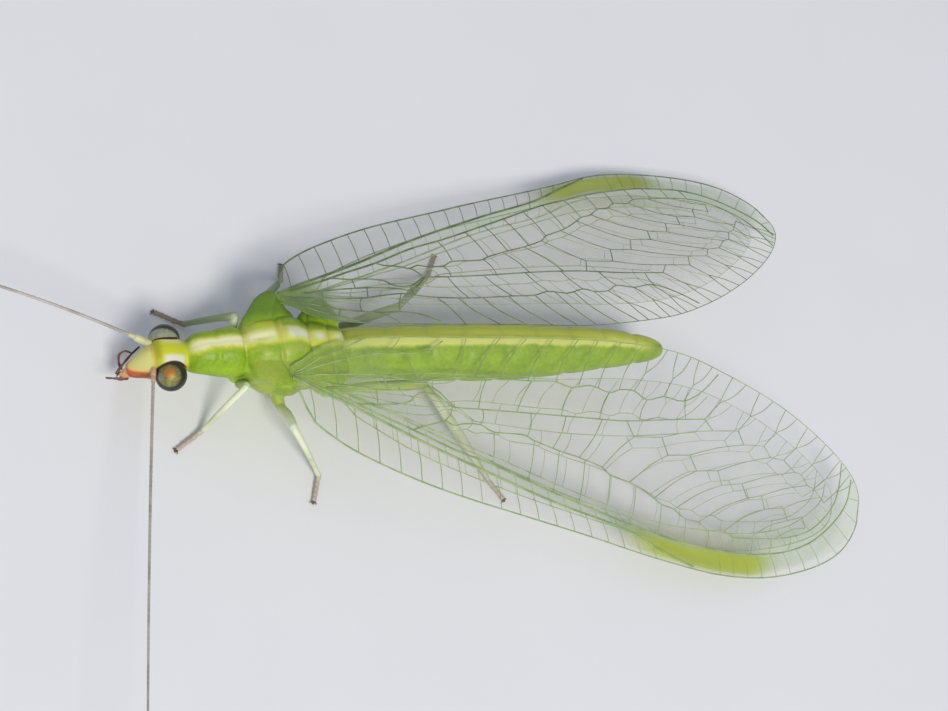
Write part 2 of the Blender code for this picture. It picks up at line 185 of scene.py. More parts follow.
class Bench:
    """Hand moves of modelling, in millimetres."""

    @staticmethod
    def clear() -> None:
        """Deselects everything, in object mode."""
        if bpy.context.object is not None and bpy.context.object.mode != "OBJECT":
            bpy.ops.object.mode_set(mode="OBJECT")
        bpy.ops.object.select_all(action="DESELECT")

    @staticmethod
    def take(item: bpy.types.Object) -> None:
        """Makes one object the only one in hand.

        Args:
            item: Object to take.
        """
        Bench.clear()
        item.select_set(True)
        bpy.context.view_layer.objects.active = item

    @staticmethod
    def join(items: Sequence[bpy.types.Object], name: str) -> bpy.types.Object:
        """Joins objects into the first one.

        Args:
            items: Objects to join.
            name: Name of the joined object.

        Returns:
            The joined object.
        """
        Bench.take(items[0])
        for item in items:
            item.select_set(True)
        bpy.ops.object.join()
        joined = bpy.context.object
        joined.name = name
        return joined

    @staticmethod
    def modify(item: bpy.types.Object, kind: str, **settings: object) -> None:
        """Adds a modifier and applies it.

        Args:
            item: Object to modify.
            kind: Blender's name of the modifier.
            settings: Its settings.
        """
        Bench.take(item)
        bpy.ops.object.modifier_add(type=kind)
        modifier = item.modifiers[-1]
        for key, value in settings.items():
            setattr(modifier, key, value)
        bpy.ops.object.modifier_apply(modifier=modifier.name)

    @staticmethod
    def sculpt(item: bpy.types.Object, depth: Callable[[Vector], float]) -> None:
        """Moves each vertex along its normal.

        Args:
            item: Object to sculpt.
            depth: How far outwards, read at the vertex's place.
        """
        moves = [(vertex, vertex.normal * depth(vertex.co)) for vertex in item.data.vertices]
        for vertex, move in moves:
            vertex.co += move
        item.data.update()

    @staticmethod
    def dress(item: bpy.types.Object, *finishes: bpy.types.Material) -> bpy.types.Object:
        """Gives an object its materials, in place of any that it has.

        Args:
            item: Object to dress.
            finishes: Its materials, in the order of their numbers.

        Returns:
            The object.
        """
        item.data.materials.clear()
        for finish in finishes:
            item.data.materials.append(finish)
        return item

    @staticmethod
    def apply_place(item: bpy.types.Object) -> None:
        """Puts the object's place, turn and scale into its mesh."""
        Bench.take(item)
        bpy.ops.object.transform_apply(location=True, rotation=True, scale=True)

    @staticmethod
    def outward(item: bpy.types.Object) -> None:
        """Merges doubled vertices and turns every face outwards.

        Args:
            item: Object to clean.
        """
        Bench.take(item)
        bpy.ops.object.mode_set(mode="EDIT")
        bpy.ops.mesh.select_all(action="SELECT")
        bpy.ops.mesh.remove_doubles(threshold=SAME_SPOT)
        bpy.ops.mesh.normals_make_consistent(inside=False)
        bpy.ops.object.mode_set(mode="OBJECT")

    @staticmethod
    def set_down(item: bpy.types.Object, slot: str, nodes: Iterable[str] = ()) -> bpy.types.Object:
        """Sets a finished piece down in the frame at life size.

        Args:
            item: The piece, in millimetres.
            slot: Name of a material slot; not used.
            nodes: Solids of the frame that it stands for.

        Returns:
            The piece.
        """
        item.scale = (MM, MM, MM)
        item.location = SHIFT
        Bench.apply_place(item)
        bpy.ops.object.shade_smooth()
        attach(item, "root")
        names = tuple(nodes)
        if names:
            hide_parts(*names)
        LOG.info("%s: %d faces", item.name, len(item.data.polygons))
        return item


@dataclass(frozen=True)
class Ring:
    """One oval section of a lofted form."""

    centre: Vector
    direction: Vector
    width: float
    height: float

    def add(self, sides: int) -> None:
        """Adds the oval as a circle of edges, its width level with the floor.

        Args:
            sides: Vertices of the oval.
        """
        normal = self.direction.normalized()
        guide = Vector((0, 0, 1)) if abs(normal.z) < UPRIGHT else Vector((1, 0, 0))
        across = guide.cross(normal).normalized()
        turn = Matrix((across, normal.cross(across), normal)).transposed()
        bpy.ops.mesh.primitive_circle_add(
            vertices=sides, radius=self.width, location=self.centre, rotation=turn.to_euler(),
        )
        if bpy.context.object.mode != "EDIT":
            bpy.ops.object.mode_set(mode="EDIT")
        if abs(self.height - self.width) > SAME_SIZE:
            bpy.ops.transform.resize(
                value=(1.0, self.height / self.width, 1.0), orient_type="GLOBAL",
                orient_matrix=turn, orient_matrix_type="GLOBAL", center_override=self.centre,
            )


def loft(name: str, rings: Sequence[Ring], sides: int) -> bpy.types.Object:
    """Bridges ovals into one closed form.

    Args:
        name: Name of the new object.
        rings: Ovals from one end to the other.
        sides: Vertices of each oval.

    Returns:
        The closed object, at the origin.
    """
    Bench.clear()
    rings[0].add(sides)
    item = bpy.context.object
    item.name = name
    for ring in rings[1:]:
        ring.add(sides)
    bpy.ops.mesh.select_all(action="SELECT")
    bpy.ops.mesh.bridge_edge_loops()
    bpy.ops.mesh.select_mode(type="EDGE")
    bpy.ops.mesh.select_all(action="DESELECT")
    bpy.ops.mesh.select_non_manifold()
    bpy.ops.mesh.edge_face_add()
    bpy.ops.mesh.select_mode(type="FACE")
    bpy.ops.mesh.poke()
    bpy.ops.mesh.select_all(action="SELECT")
    bpy.ops.mesh.normals_make_consistent(inside=False)
    bpy.ops.mesh.select_mode(type="VERT")
    bpy.ops.object.mode_set(mode="OBJECT")
    Bench.apply_place(item)
    return item


def tube(
    name: str, path: Sequence[Spot3], girth: Callable[[float], float], steps: int, sides: int,
) -> bpy.types.Object:
    """Lofts a round tube with rounded ends along a smooth path.

    Args:
        name: Name of the new object.
        path: Points of the path.
        girth: Radius at a share of the length.
        steps: Rings to each stretch of the path.
        sides: Vertices of each ring.

    Returns:
        The closed tube.
    """
    spots = [Vector(p) for p in curve_through(path, steps)]
    last = len(spots) - 1
    rings = []
    for index, spot in enumerate(spots):
        direction = spots[min(index + 1, last)] - spots[max(index - 1, 0)]
        radius = girth(index / last)
        rings.append(Ring(spot, direction, radius, radius))
        if index in (0, last):
            outward = direction.normalized() * radius * CAP_REACH
            small = radius * CAP_GIRTH
            cap = Ring(spot - outward if index == 0 else spot + outward, direction, small, small)
            rings.insert(0 if index == 0 else len(rings), cap)
    return loft(name, rings, sides)


class Wire:
    """A shader socket that takes part in sums. Each sum adds one Math node."""

    def __init__(self, bench: "Paint", socket: bpy.types.NodeSocket) -> None:
        """Keeps the socket and the material it belongs to."""
        self.bench = bench
        self.socket = socket

    def __add__(self, other: "Wire | float") -> "Wire":
        """Sum of two values."""
        return self.bench.maths("ADD", self, other)

    __radd__ = __add__

    def __sub__(self, other: "Wire | float") -> "Wire":
        """This value less another."""
        return self.bench.maths("SUBTRACT", self, other)

    def __rsub__(self, other: "Wire | float") -> "Wire":
        """Another value less this one."""
        return self.bench.maths("SUBTRACT", other, self)

    def __mul__(self, other: "Wire | float") -> "Wire":
        """Product of two values."""
        return self.bench.maths("MULTIPLY", self, other)

    __rmul__ = __mul__

    def __pow__(self, other: "Wire | float") -> "Wire":
        """This value to a power."""
        return self.bench.maths("POWER", self, other)

    def __abs__(self) -> "Wire":
        """Size of the value."""
        return self.bench.maths("ABSOLUTE", self)

    def larger(self, other: "Wire | float") -> "Wire":
        """The larger of two values."""
        return self.bench.maths("MAXIMUM", self, other)

    def rise(self, low: float, high: float) -> "Wire":
        """0 below low, 1 above high, smooth between them."""
        made = self.bench.node(
            "ShaderNodeMapRange", {"interpolation_type": "SMOOTHSTEP"}, {0: self, 1: low, 2: high},
        )
        return Wire(self.bench, made.outputs[0])

    def fall(self, low: float, high: float) -> "Wire":
        """1 below low, 0 above high, smooth between them."""
        return 1.0 - self.rise(low, high)

    def band(self, centre: float, half: float, soft: float) -> "Wire":
        """1 within half a width of a centre, soft at its edges."""
        return abs(self - centre).fall(half - soft / 2, half + soft / 2)


class Paint:
    """A material on its bench, with one method for every kind of node."""

    def __init__(self, name: str, roughness: float, **constants: float) -> None:
        """Starts a Principled material.

        Args:
            name: Name of the material.
            roughness: Its even roughness.
            constants: Other sockets of the shader that are the same all over.
        """
        self.material = bpy.data.materials.new(name)
        self.material.use_nodes = True
        self.tree = self.material.node_tree
        self.shader = self.tree.nodes["Principled BSDF"]
        self.shader.inputs["Roughness"].default_value = roughness
        for key, value in constants.items():
            self.shader.inputs[key.replace("_", " ")].default_value = value

    def node(
        self, kind: str, settings: dict[str, object] | None = None,
        values: dict[int | str, object] | None = None,
    ) -> bpy.types.Node:
        """Adds a node, sets it and fills its sockets.

        Args:
            kind: Blender's name of the node type.
            settings: Attributes of the node, set first.
            values: Socket index or name, with a number, a tuple or a Wire.

        Returns:
            The node.
        """
        made = self.tree.nodes.new(kind)
        for key, value in (settings or {}).items():
            setattr(made, key, value)
        for key, value in (values or {}).items():
            if isinstance(value, Wire):
                self.tree.links.new(value.socket, made.inputs[key])
            else:
                made.inputs[key].default_value = value
        return made

    def maths(self, operation: str, *values: Wire | float) -> Wire:
        """One Math node."""
        made = self.node("ShaderNodeMath", {"operation": operation}, dict(enumerate(values)))
        return Wire(self, made.outputs[0])

    def mix(self, factor: Wire | float, first: Wire | Colour, second: Wire | Colour) -> Wire:
        """Mixes two colours.

        Args:
            factor: Share of the second colour.
            first: Colour at a factor of 0.
            second: Colour at a factor of 1.

        Returns:
            The mixed colour.
        """
        tones = [(*tone, 1.0) if isinstance(tone, tuple) else tone for tone in (first, second)]
        made = self.node("ShaderNodeMix", {"data_type": "RGBA"}, {0: factor, 6: tones[0], 7: tones[1]})
        return Wire(self, made.outputs[2])

    def layers(self, base: Wire | Colour, *coats: tuple[Wire | float, Wire | Colour]) -> Wire:
        """Lays colours over a base.

        Args:
            base: The lowest colour.
            coats: Mask and colour of each coat, from the lowest up.

        Returns:
            The colour with its coats.
        """
        result = base
        for mask, colour in coats:
            result = self.mix(mask, result, colour)
        return result

    def object_place(self) -> Wire:
        """The point in Object coordinates."""
        made = self.node("ShaderNodeTexCoord")
        return Wire(self, made.outputs["Object"])

    def insect_place(self) -> Place:
        """The point in the insect's own millimetres, along, across and up."""
        made = self.node("ShaderNodeSeparateXYZ", None, {0: self.object_place()})
        return tuple(
            Wire(self, made.outputs[axis]) * (1.0 / MM) - SHIFT[axis] / MM for axis in range(3)
        )

    def attribute(self, name: str) -> Wire:
        """A value kept on the mesh."""
        made = self.node("ShaderNodeAttribute", {"attribute_name": name})
        return Wire(self, made.outputs["Fac"])

    def noise(self, grain: float, detail: float = 2.0) -> Wire:
        """Soft mottling of a grain in millimetres, round a middle of one half."""
        made = self.node("ShaderNodeTexNoise", None, {
            "Vector": self.object_place(), "Scale": 1.0 / (grain * MM), "Detail": detail,
        })
        return Wire(self, made.outputs[0])

    def cells(self, size: float) -> Wire:
        """Distance within small cells of a size in millimetres."""
        made = self.node("ShaderNodeTexVoronoi", None, {
            "Vector": self.object_place(), "Scale": 1.0 / (size * MM),
        })
        return Wire(self, made.outputs["Distance"])

    def feed(self, **wires: Wire) -> None:
        """Links values to the shader's sockets by name."""
        for key, wire in wires.items():
            self.tree.links.new(wire.socket, self.shader.inputs[key.replace("_", " ")])

    def relief(self, height: Wire, depth: float, strength: float = 1.0) -> None:
        """Gives the surface a relief of a depth in millimetres."""
        made = self.node("ShaderNodeBump", None, {
            "Strength": strength, "Distance": depth * MM, "Height": height,
        })
        self.feed(Normal=Wire(self, made.outputs["Normal"]))


@dataclass(frozen=True)
class SkinFinish:
    """Waxy green skin with a cream line along the back and a yellow head."""

    green: Colour = (0.270, 0.450, 0.016)
    deep_green: Colour = (0.200, 0.360, 0.014)
    belly: Colour = (0.440, 0.560, 0.200)
    stripe: Colour = (0.560, 0.620, 0.055)
    cream: Colour = (0.800, 0.790, 0.440)
    white: Colour = (0.760, 0.760, 0.600)
    olive: Colour = (0.520, 0.560, 0.090)
    ridge: Colour = (0.680, 0.710, 0.170)
    flank: Colour = (0.335, 0.430, 0.070)
    # Deep green used as painted shade on the far side of the thorax.
    far_lobe_shade: Colour = (0.110, 0.200, 0.030)
    seam_tan: Colour = (0.620, 0.560, 0.200)
    mustard: Colour = (0.430, 0.410, 0.022)
    vertex: Colour = (0.620, 0.650, 0.030)
    face: Colour = (0.640, 0.620, 0.210)
    face_low: Colour = (0.780, 0.480, 0.160)
    rust: Colour = (0.500, 0.120, 0.030)
    blood: Colour = (0.210, 0.045, 0.018)
    soot: Colour = (0.050, 0.026, 0.012)
    back_height: float = 1.62
    patches: tuple[tuple[float, float, float, Colour], ...] = (
        (-3.97, 0.27, 0.13, cream), (-3.28, 0.23, 0.12, white), (-2.80, 0.10, 0.08, white),
        (-2.36, 0.12, 0.09, cream),
    )
    seams: tuple[Spot, ...] = ((-4.30, 0.02), (-3.61, 0.03), (-2.97, 0.03), (-2.62, 0.05))
    brow_spot: Spot3 = (-5.40, 0.36, 1.46)
    eye_ring: Spot3 = (-5.66, 0.40, 1.32)

    def thorax_marks(self, paint: Paint, base: Wire, place: Place, wander: Wire) -> Wire:
        """Lays the stripe, the pale patches and the seams of the thorax over the green, and paints shade on
        its far side.

        Args:
            paint: Material on its bench.
            base: Colour under the marks.
            place: Place along and across the insect and over the floor.
            wander: Small noise that makes the edges wander.

        Returns:
            The colour with its marks.
        """
        along, across, height = place
        loose = abs(across) + wander
        off_side = abs(across - 0.03) + wander
        top = height.rise(self.back_height - 0.12, self.back_height + 0.08)
        stripe = loose.fall(0.12, 0.21) * top * along.rise(-5.40, -5.30) * along.fall(-2.32, -2.16)
        lobe = (across + wander).band(0.24, 0.16, 0.12) * along.band(-3.95, 0.34, 0.24) * top
        core = loose.fall(0.06, 0.16) * top * along.band(-4.80, 0.50, 0.16)
        coats = [(stripe, self.stripe), (lobe * 0.8, self.stripe), (core, self.cream)]
        for middle, half, wide, tone in self.patches:
            patch = off_side.fall(wide - 0.10, wide + 0.08) * (along + wander).band(middle, half, 0.16)
            coats.append((patch * top * 0.9, tone))
        for middle, half in self.seams:
            seam = off_side.fall(0.14, 0.26) * (along + wander).band(middle, half, 0.06)
            coats.append((seam * top * 0.7, self.seam_tan))
        # Painted shade: the far upper side of the thorax, away from the key lamp, darkened with a deep green.
        shadowed = across.rise(0.38, 0.66) * height.rise(1.40, 1.56) * along.band(-3.2, 1.0, 0.3)
        return paint.layers(base, *coats, (shadowed * 0.85, self.far_lobe_shade))

    def belly_marks(self, paint: Paint, base: Wire, place: Place, wander: Wire) -> Wire:
        """Lays the abdomen's bands over the green.

        Args:
            paint: Material on its bench.
            base: Colour under the bands.
            place: Place along and across the insect and over the floor.
            wander: Small noise that makes the edges wander.

        Returns:
            The colour with its bands.
        """
        along, across, height = place
        back = along.rise(-2.34, -2.12)
        far = (across + wander * 0.5).rise(0.00, 0.05) * height.rise(1.40, 1.55)
        edge = (across + wander * 0.3).band(0.30, 0.02, 0.05) * height.rise(1.55, 1.70)
        stripe = (across + wander * 0.6).band(-0.07, 0.09, 0.08) * height.rise(1.55, 1.75)
        return paint.layers(
            base, (far * back * 0.9, self.olive), (edge * back * 0.6, self.ridge),
            (stripe * back, self.ridge),
        )

    def head_marks(self, paint: Paint, base: Wire, place: Place, mottle: Wire) -> Wire:
        """Lays the head's own colours over the body's, with a painted highlight on the pale patch by the near
        eye.

        Args:
            paint: Material on its bench.
            base: Colour of the body.
            place: Place along and across the insect and over the floor.
            mottle: Soft mottling.

        Returns:
            The colour with the head painted.
        """
        along, across, height = place
        side = abs(across)

        def far_from(spot: Spot3) -> Wire:
            """Distance from a spot on either side of the head."""
            x, y, z = ((wire - value) ** 2.0 for wire, value in zip((along, side, height), spot))
            return (x + y + z) ** 0.5

        tilt = along + (mottle - 0.5) * 0.12
        # Pale patch beside each eye: real pale skin, at full strength on the near side as a painted highlight
        # and faint on the far side.
        near_patch_and_highlight = across.band(-0.22, 0.11, 0.10)
        far = across.band(0.22, 0.08, 0.08) * 0.35
        patch = (near_patch_and_highlight + far) * along.band(-5.62, 0.20, 0.14) * height.rise(1.36, 1.48)
        slope = height - along * 0.85
        face = paint.mix((slope + (mottle - 0.5) * 0.10).fall(6.34, 6.56), self.face, self.face_low)
        front = along + height * 0.25
        cheek = (side - along * 0.45 - 2.9405).rise(-0.11, -0.05) * (slope - 6.2265).band(0.00, 0.18, 0.08)
        streak = paint.mix(mottle.rise(0.42, 0.58) * 0.7, self.rust, self.blood)
        crown = paint.layers(
            paint.mix(tilt.fall(-5.94, -5.80), self.vertex, self.mustard),
            (mottle.rise(0.45, 0.75) * 0.5, self.stripe), (patch, self.white),
            (front.band(-5.62, 0.02, 0.06) * 0.5, self.face_low), (front.fall(-5.70, -5.60), face),
            (cheek * along.fall(-5.95, -5.80), streak),
            (far_from(self.eye_ring).fall(0.325, 0.345), self.soot),
            (far_from(self.brow_spot).fall(0.05, 0.12) * 0.8, self.rust),
        )
        return paint.mix(along.fall(-5.38, -5.30), base, crown)

    def make(self) -> bpy.types.Material:
        """Paints the skin by its place on the body.

        Returns:
            The material.
        """
        paint = Paint(
            "skin_green", 0.36, Subsurface_Weight=0.15, Subsurface_Scale=0.0002, Specular_IOR_Level=0.25,
        )
        place = paint.insect_place()
        along, across, height = place
        mottle = paint.noise(0.35, 3.0)
        fine = paint.noise(0.07, 2.0)
        wander = (mottle - 0.5) * 0.16 + (fine - 0.5) * 0.05
        chest = along.band(-3.3, 0.85, 0.4) * across.fall(0.10, 0.40)
        colour = paint.layers(
            paint.mix(mottle.rise(0.35, 0.70), self.deep_green, self.green),
            (height.fall(0.70, 1.20), self.belly),
            (chest * (0.30 + mottle.rise(0.40, 0.62) * 0.6), self.flank),
            (fine.rise(0.3, 0.8) * 0.25, self.stripe),
        )
        colour = self.thorax_marks(paint, colour, place, wander)
        colour = self.belly_marks(paint, colour, place, wander)
        colour = self.head_marks(paint, colour, place, mottle)
        paint.feed(Base_Color=colour, Roughness=0.30 + fine * 0.16)
        paint.relief(paint.cells(0.045) + fine * 0.6, 0.004, 0.5)
        return paint.material


@dataclass(frozen=True)
class LegFinish:
    """Pale translucent green of thighs and shins, browner towards the feet."""

    green: Colour = (0.540, 0.610, 0.370)
    pale: Colour = (0.690, 0.720, 0.530)
    glow: Colour = (0.770, 0.810, 0.570)
    lime: Colour = (0.400, 0.520, 0.120)
    shaded: Colour = (0.170, 0.235, 0.090)
    tan: Colour = (0.500, 0.420, 0.340)
    brown: Colour = (0.210, 0.160, 0.110)

    def make(self) -> bpy.types.Material:
        """Paints the legs by their height over the floor, lighter higher up as a painted highlight and darker
        on the far legs as painted shade.

        Returns:
            The material.
        """
        paint = Paint(
            "leg_green", 0.40, Subsurface_Weight=0.30, Subsurface_Scale=0.0001, Specular_IOR_Level=0.3,
        )
        _, across, height = paint.insect_place()
        fine = paint.noise(0.05, 2.0)
        colour = paint.mix(paint.noise(0.30).rise(0.35, 0.65), self.green, self.pale)
        # Painted highlight: the higher parts of the legs lighter, as if lit from above.
        colour = paint.mix(height.rise(0.60, 1.00), colour, self.glow)
        colour = paint.mix(abs(across).fall(0.45, 0.80) * height.rise(0.5, 0.8), colour, self.lime)
        # Painted shade: the far legs darkened towards a shaded green, and their feet from tan towards a
        # darker brown.
        far = across.rise(0.60, 0.90)
        colour = paint.mix(far * 0.85, colour, self.shaded)
        foot_tan_and_shade = paint.mix(far * 0.8, self.tan, self.brown)
        foot = height.fall(0.11, 0.24)
        paint.feed(Base_Color=paint.mix(foot, colour, foot_tan_and_shade), Roughness=0.34 + fine * 0.2)
        paint.relief(fine, 0.003, 0.6)
        return paint.material


@dataclass(frozen=True)
class HornFinish:
    """Hard smooth cuticle of feelers, claws or mouthparts, mottled between two tones."""

    name: str
    light: Colour
    dark: Colour
    roughness: float = 0.4
    grain: float = 0.12

    def make(self) -> bpy.types.Material:
        """Mottles the two tones.

        Returns:
            The material.
        """
        paint = Paint(self.name, self.roughness)
        mottle = paint.noise(self.grain, 3.0)
        fine = paint.noise(0.03, 2.0)
        paint.feed(
            Base_Color=paint.mix(mottle.rise(0.35, 0.65), self.light, self.dark),
            Roughness=self.roughness - 0.08 + fine * 0.16,
        )
        paint.relief(fine, 0.002, 0.6)
        return paint.material


@dataclass(frozen=True)
class EyeFinish:
    """Metallic eye of fine facets: patches of gold and green in the middle, a dark rim."""

    gold: Colour = (0.480, 0.190, 0.030)
    lime: Colour = (0.280, 0.300, 0.070)
    olive: Colour = (0.170, 0.165, 0.050)
    teal: Colour = (0.240, 0.300, 0.230)
    rim: Colour = (0.012, 0.014, 0.012)
    bloom: Colour = (0.300, 0.320, 0.220)
    facet: float = 0.022

    def make(self, side: Side, centre: Spot3, pole: Spot3) -> bpy.types.Material:
        """Paints patches round the pole of one eye.

        Args:
            side: Side of the head.
            centre: Middle of the eye's ball.
            pole: Direction that the gold middle faces.

        Returns:
            The material.
        """
        paint = Paint(f"eye_metal_{side.word}", 0.34, Coat_Weight=0.10, Coat_Roughness=0.12)
        axis = Vector(pole).normalized()
        tailward = (Vector((1.0, 0.0, 0.0)) - axis * axis.x).normalized()
        place = paint.insect_place()

        def reach(direction: Vector) -> Wire:
            """Distance from the eye's middle in a direction, in radii."""
            x, y, z = ((place[i] - centre[i]) * (direction[i] / Eye.radius) for i in range(3))
            return x + y + z

        ripple = paint.noise(0.10, 3.0) - 0.5
        lean = reach(axis) + ripple * 0.10
        back = reach(tailward) + ripple * 0.55
        rise = reach(axis.cross(tailward)) + ripple * 0.55

        def blob(tail: float, up: float, inner: float, outer: float) -> Wire:
            """A soft round patch beside the pole."""
            return (((back - tail) ** 2.0 + (rise - up) ** 2.0) ** 0.5).fall(inner, outer)

        flecks = paint.noise(0.05, 2.0).rise(0.45, 0.60)
        middle = paint.layers(
            self.olive, (flecks * 0.6, self.lime), (blob(-0.60, -0.05, 0.12, 0.38), self.teal),
            (blob(-0.05, -0.48, 0.08, 0.30), self.lime), (blob(0.04, 0.20, 0.20, 0.50), self.gold),
            ((flecks - 0.4) * 0.5 * blob(0.04, -0.05, 0.10, 0.45), self.lime),
            (blob(0.25, -0.10, 0.05, 0.20), self.olive),
        )
        dusk = paint.mix(flecks * 0.5, self.bloom, self.olive)
        colour = paint.layers(self.rim, (lean.rise(0.60, 0.76), middle), (lean.fall(-0.30, -0.05), dusk))
        facets = paint.cells(self.facet)
        paint.feed(Base_Color=colour, Metallic=lean.rise(0.62, 0.80) * 0.4, Roughness=0.30 + facets * 0.3)
        paint.relief(1.0 - facets, 0.006, 0.6)
        return paint.material


@dataclass(frozen=True)
class FilmFinish:
    """Clear wing film, milky at the root, green along the front edge and olive at the wing's spot."""

    name: str
    root: Colour
    root_cover: float
    clear_cover: float
    green_cover: float
    olive: Colour = (0.470, 0.550, 0.040)
    clear: Colour = (0.620, 0.630, 0.450)
    green: Colour = (0.400, 0.560, 0.200)
    olive_cover: float = 0.66

    def make(self) -> bpy.types.Material:
        """Paints the film by the stains kept on its mesh.

        Returns:
            The material.
        """
        paint = Paint(self.name, 0.16, IOR=1.5, Coat_Weight=0.3, Coat_Roughness=0.05)
        spot = paint.attribute("wing_spot")
        stain = paint.attribute("wing_stain")
        root = paint.attribute("wing_root")
        mottle = paint.noise(0.25, 3.0)
        colour = paint.layers(self.clear, (stain, self.green), (spot, self.olive), (root, self.root))
        cover = self.clear_cover * (0.7 + mottle * 0.6)
        cover = cover + stain * self.green_cover + spot * (self.olive_cover - self.clear_cover)
        cover = cover.larger(root * (0.75 + mottle * 0.5) * self.root_cover)
        paint.feed(Base_Color=colour, Alpha=cover, Roughness=0.10 + mottle * 0.16)
        paint.relief(paint.noise(0.40, 2.0), 0.02, 0.35)
        return paint.material


@dataclass(frozen=True)
class VeinFinish:
    """One tone of the wing net, mottled between two colours."""

    name: str
    light: Colour
    dark: Colour

    def make(self) -> bpy.types.Material:
        """Mottles the vein along its length.

        Returns:
            The material.
        """
        paint = Paint(self.name, 0.45)
        mottle = paint.noise(0.30, 2.0)
        paint.feed(
            Base_Color=paint.mix(mottle.rise(0.38, 0.62), self.light, self.dark),
            Roughness=0.35 + mottle * 0.2,
        )
        return paint.material


@dataclass(frozen=True)
class FloorFinish:
    """Plain pale matt floor."""

    pale: Colour = (0.800, 0.800, 0.810)
    paler: Colour = (0.840, 0.840, 0.845)

    def make(self) -> bpy.types.Material:
        """Mottles the floor faintly.

        Returns:
            The material.
        """
        paint = Paint("floor_pale", 0.85)
        paint.feed(Base_Color=paint.mix(paint.noise(4.0, 3.0), self.pale, self.paler))
        return paint.material


@dataclass(frozen=True)
class Fold:
    """A bump or a dent of the trunk.

    It has a depth, a middle and a width along and across the body, and fades in between two
    heights over the floor.
    """

    depth: float
    along: float
    length: float
    across: float = 0.0
    width: float = math.inf
    low: float = -1.0
    high: float = 0.0

    def at(self, place: Vector) -> float:
        """Millimetres outwards at a place."""
        flat = hump(place.x, self.along, self.length) * hump(abs(place.y), self.across, self.width)
        return self.depth * flat * smooth(place.z, self.low, self.high)


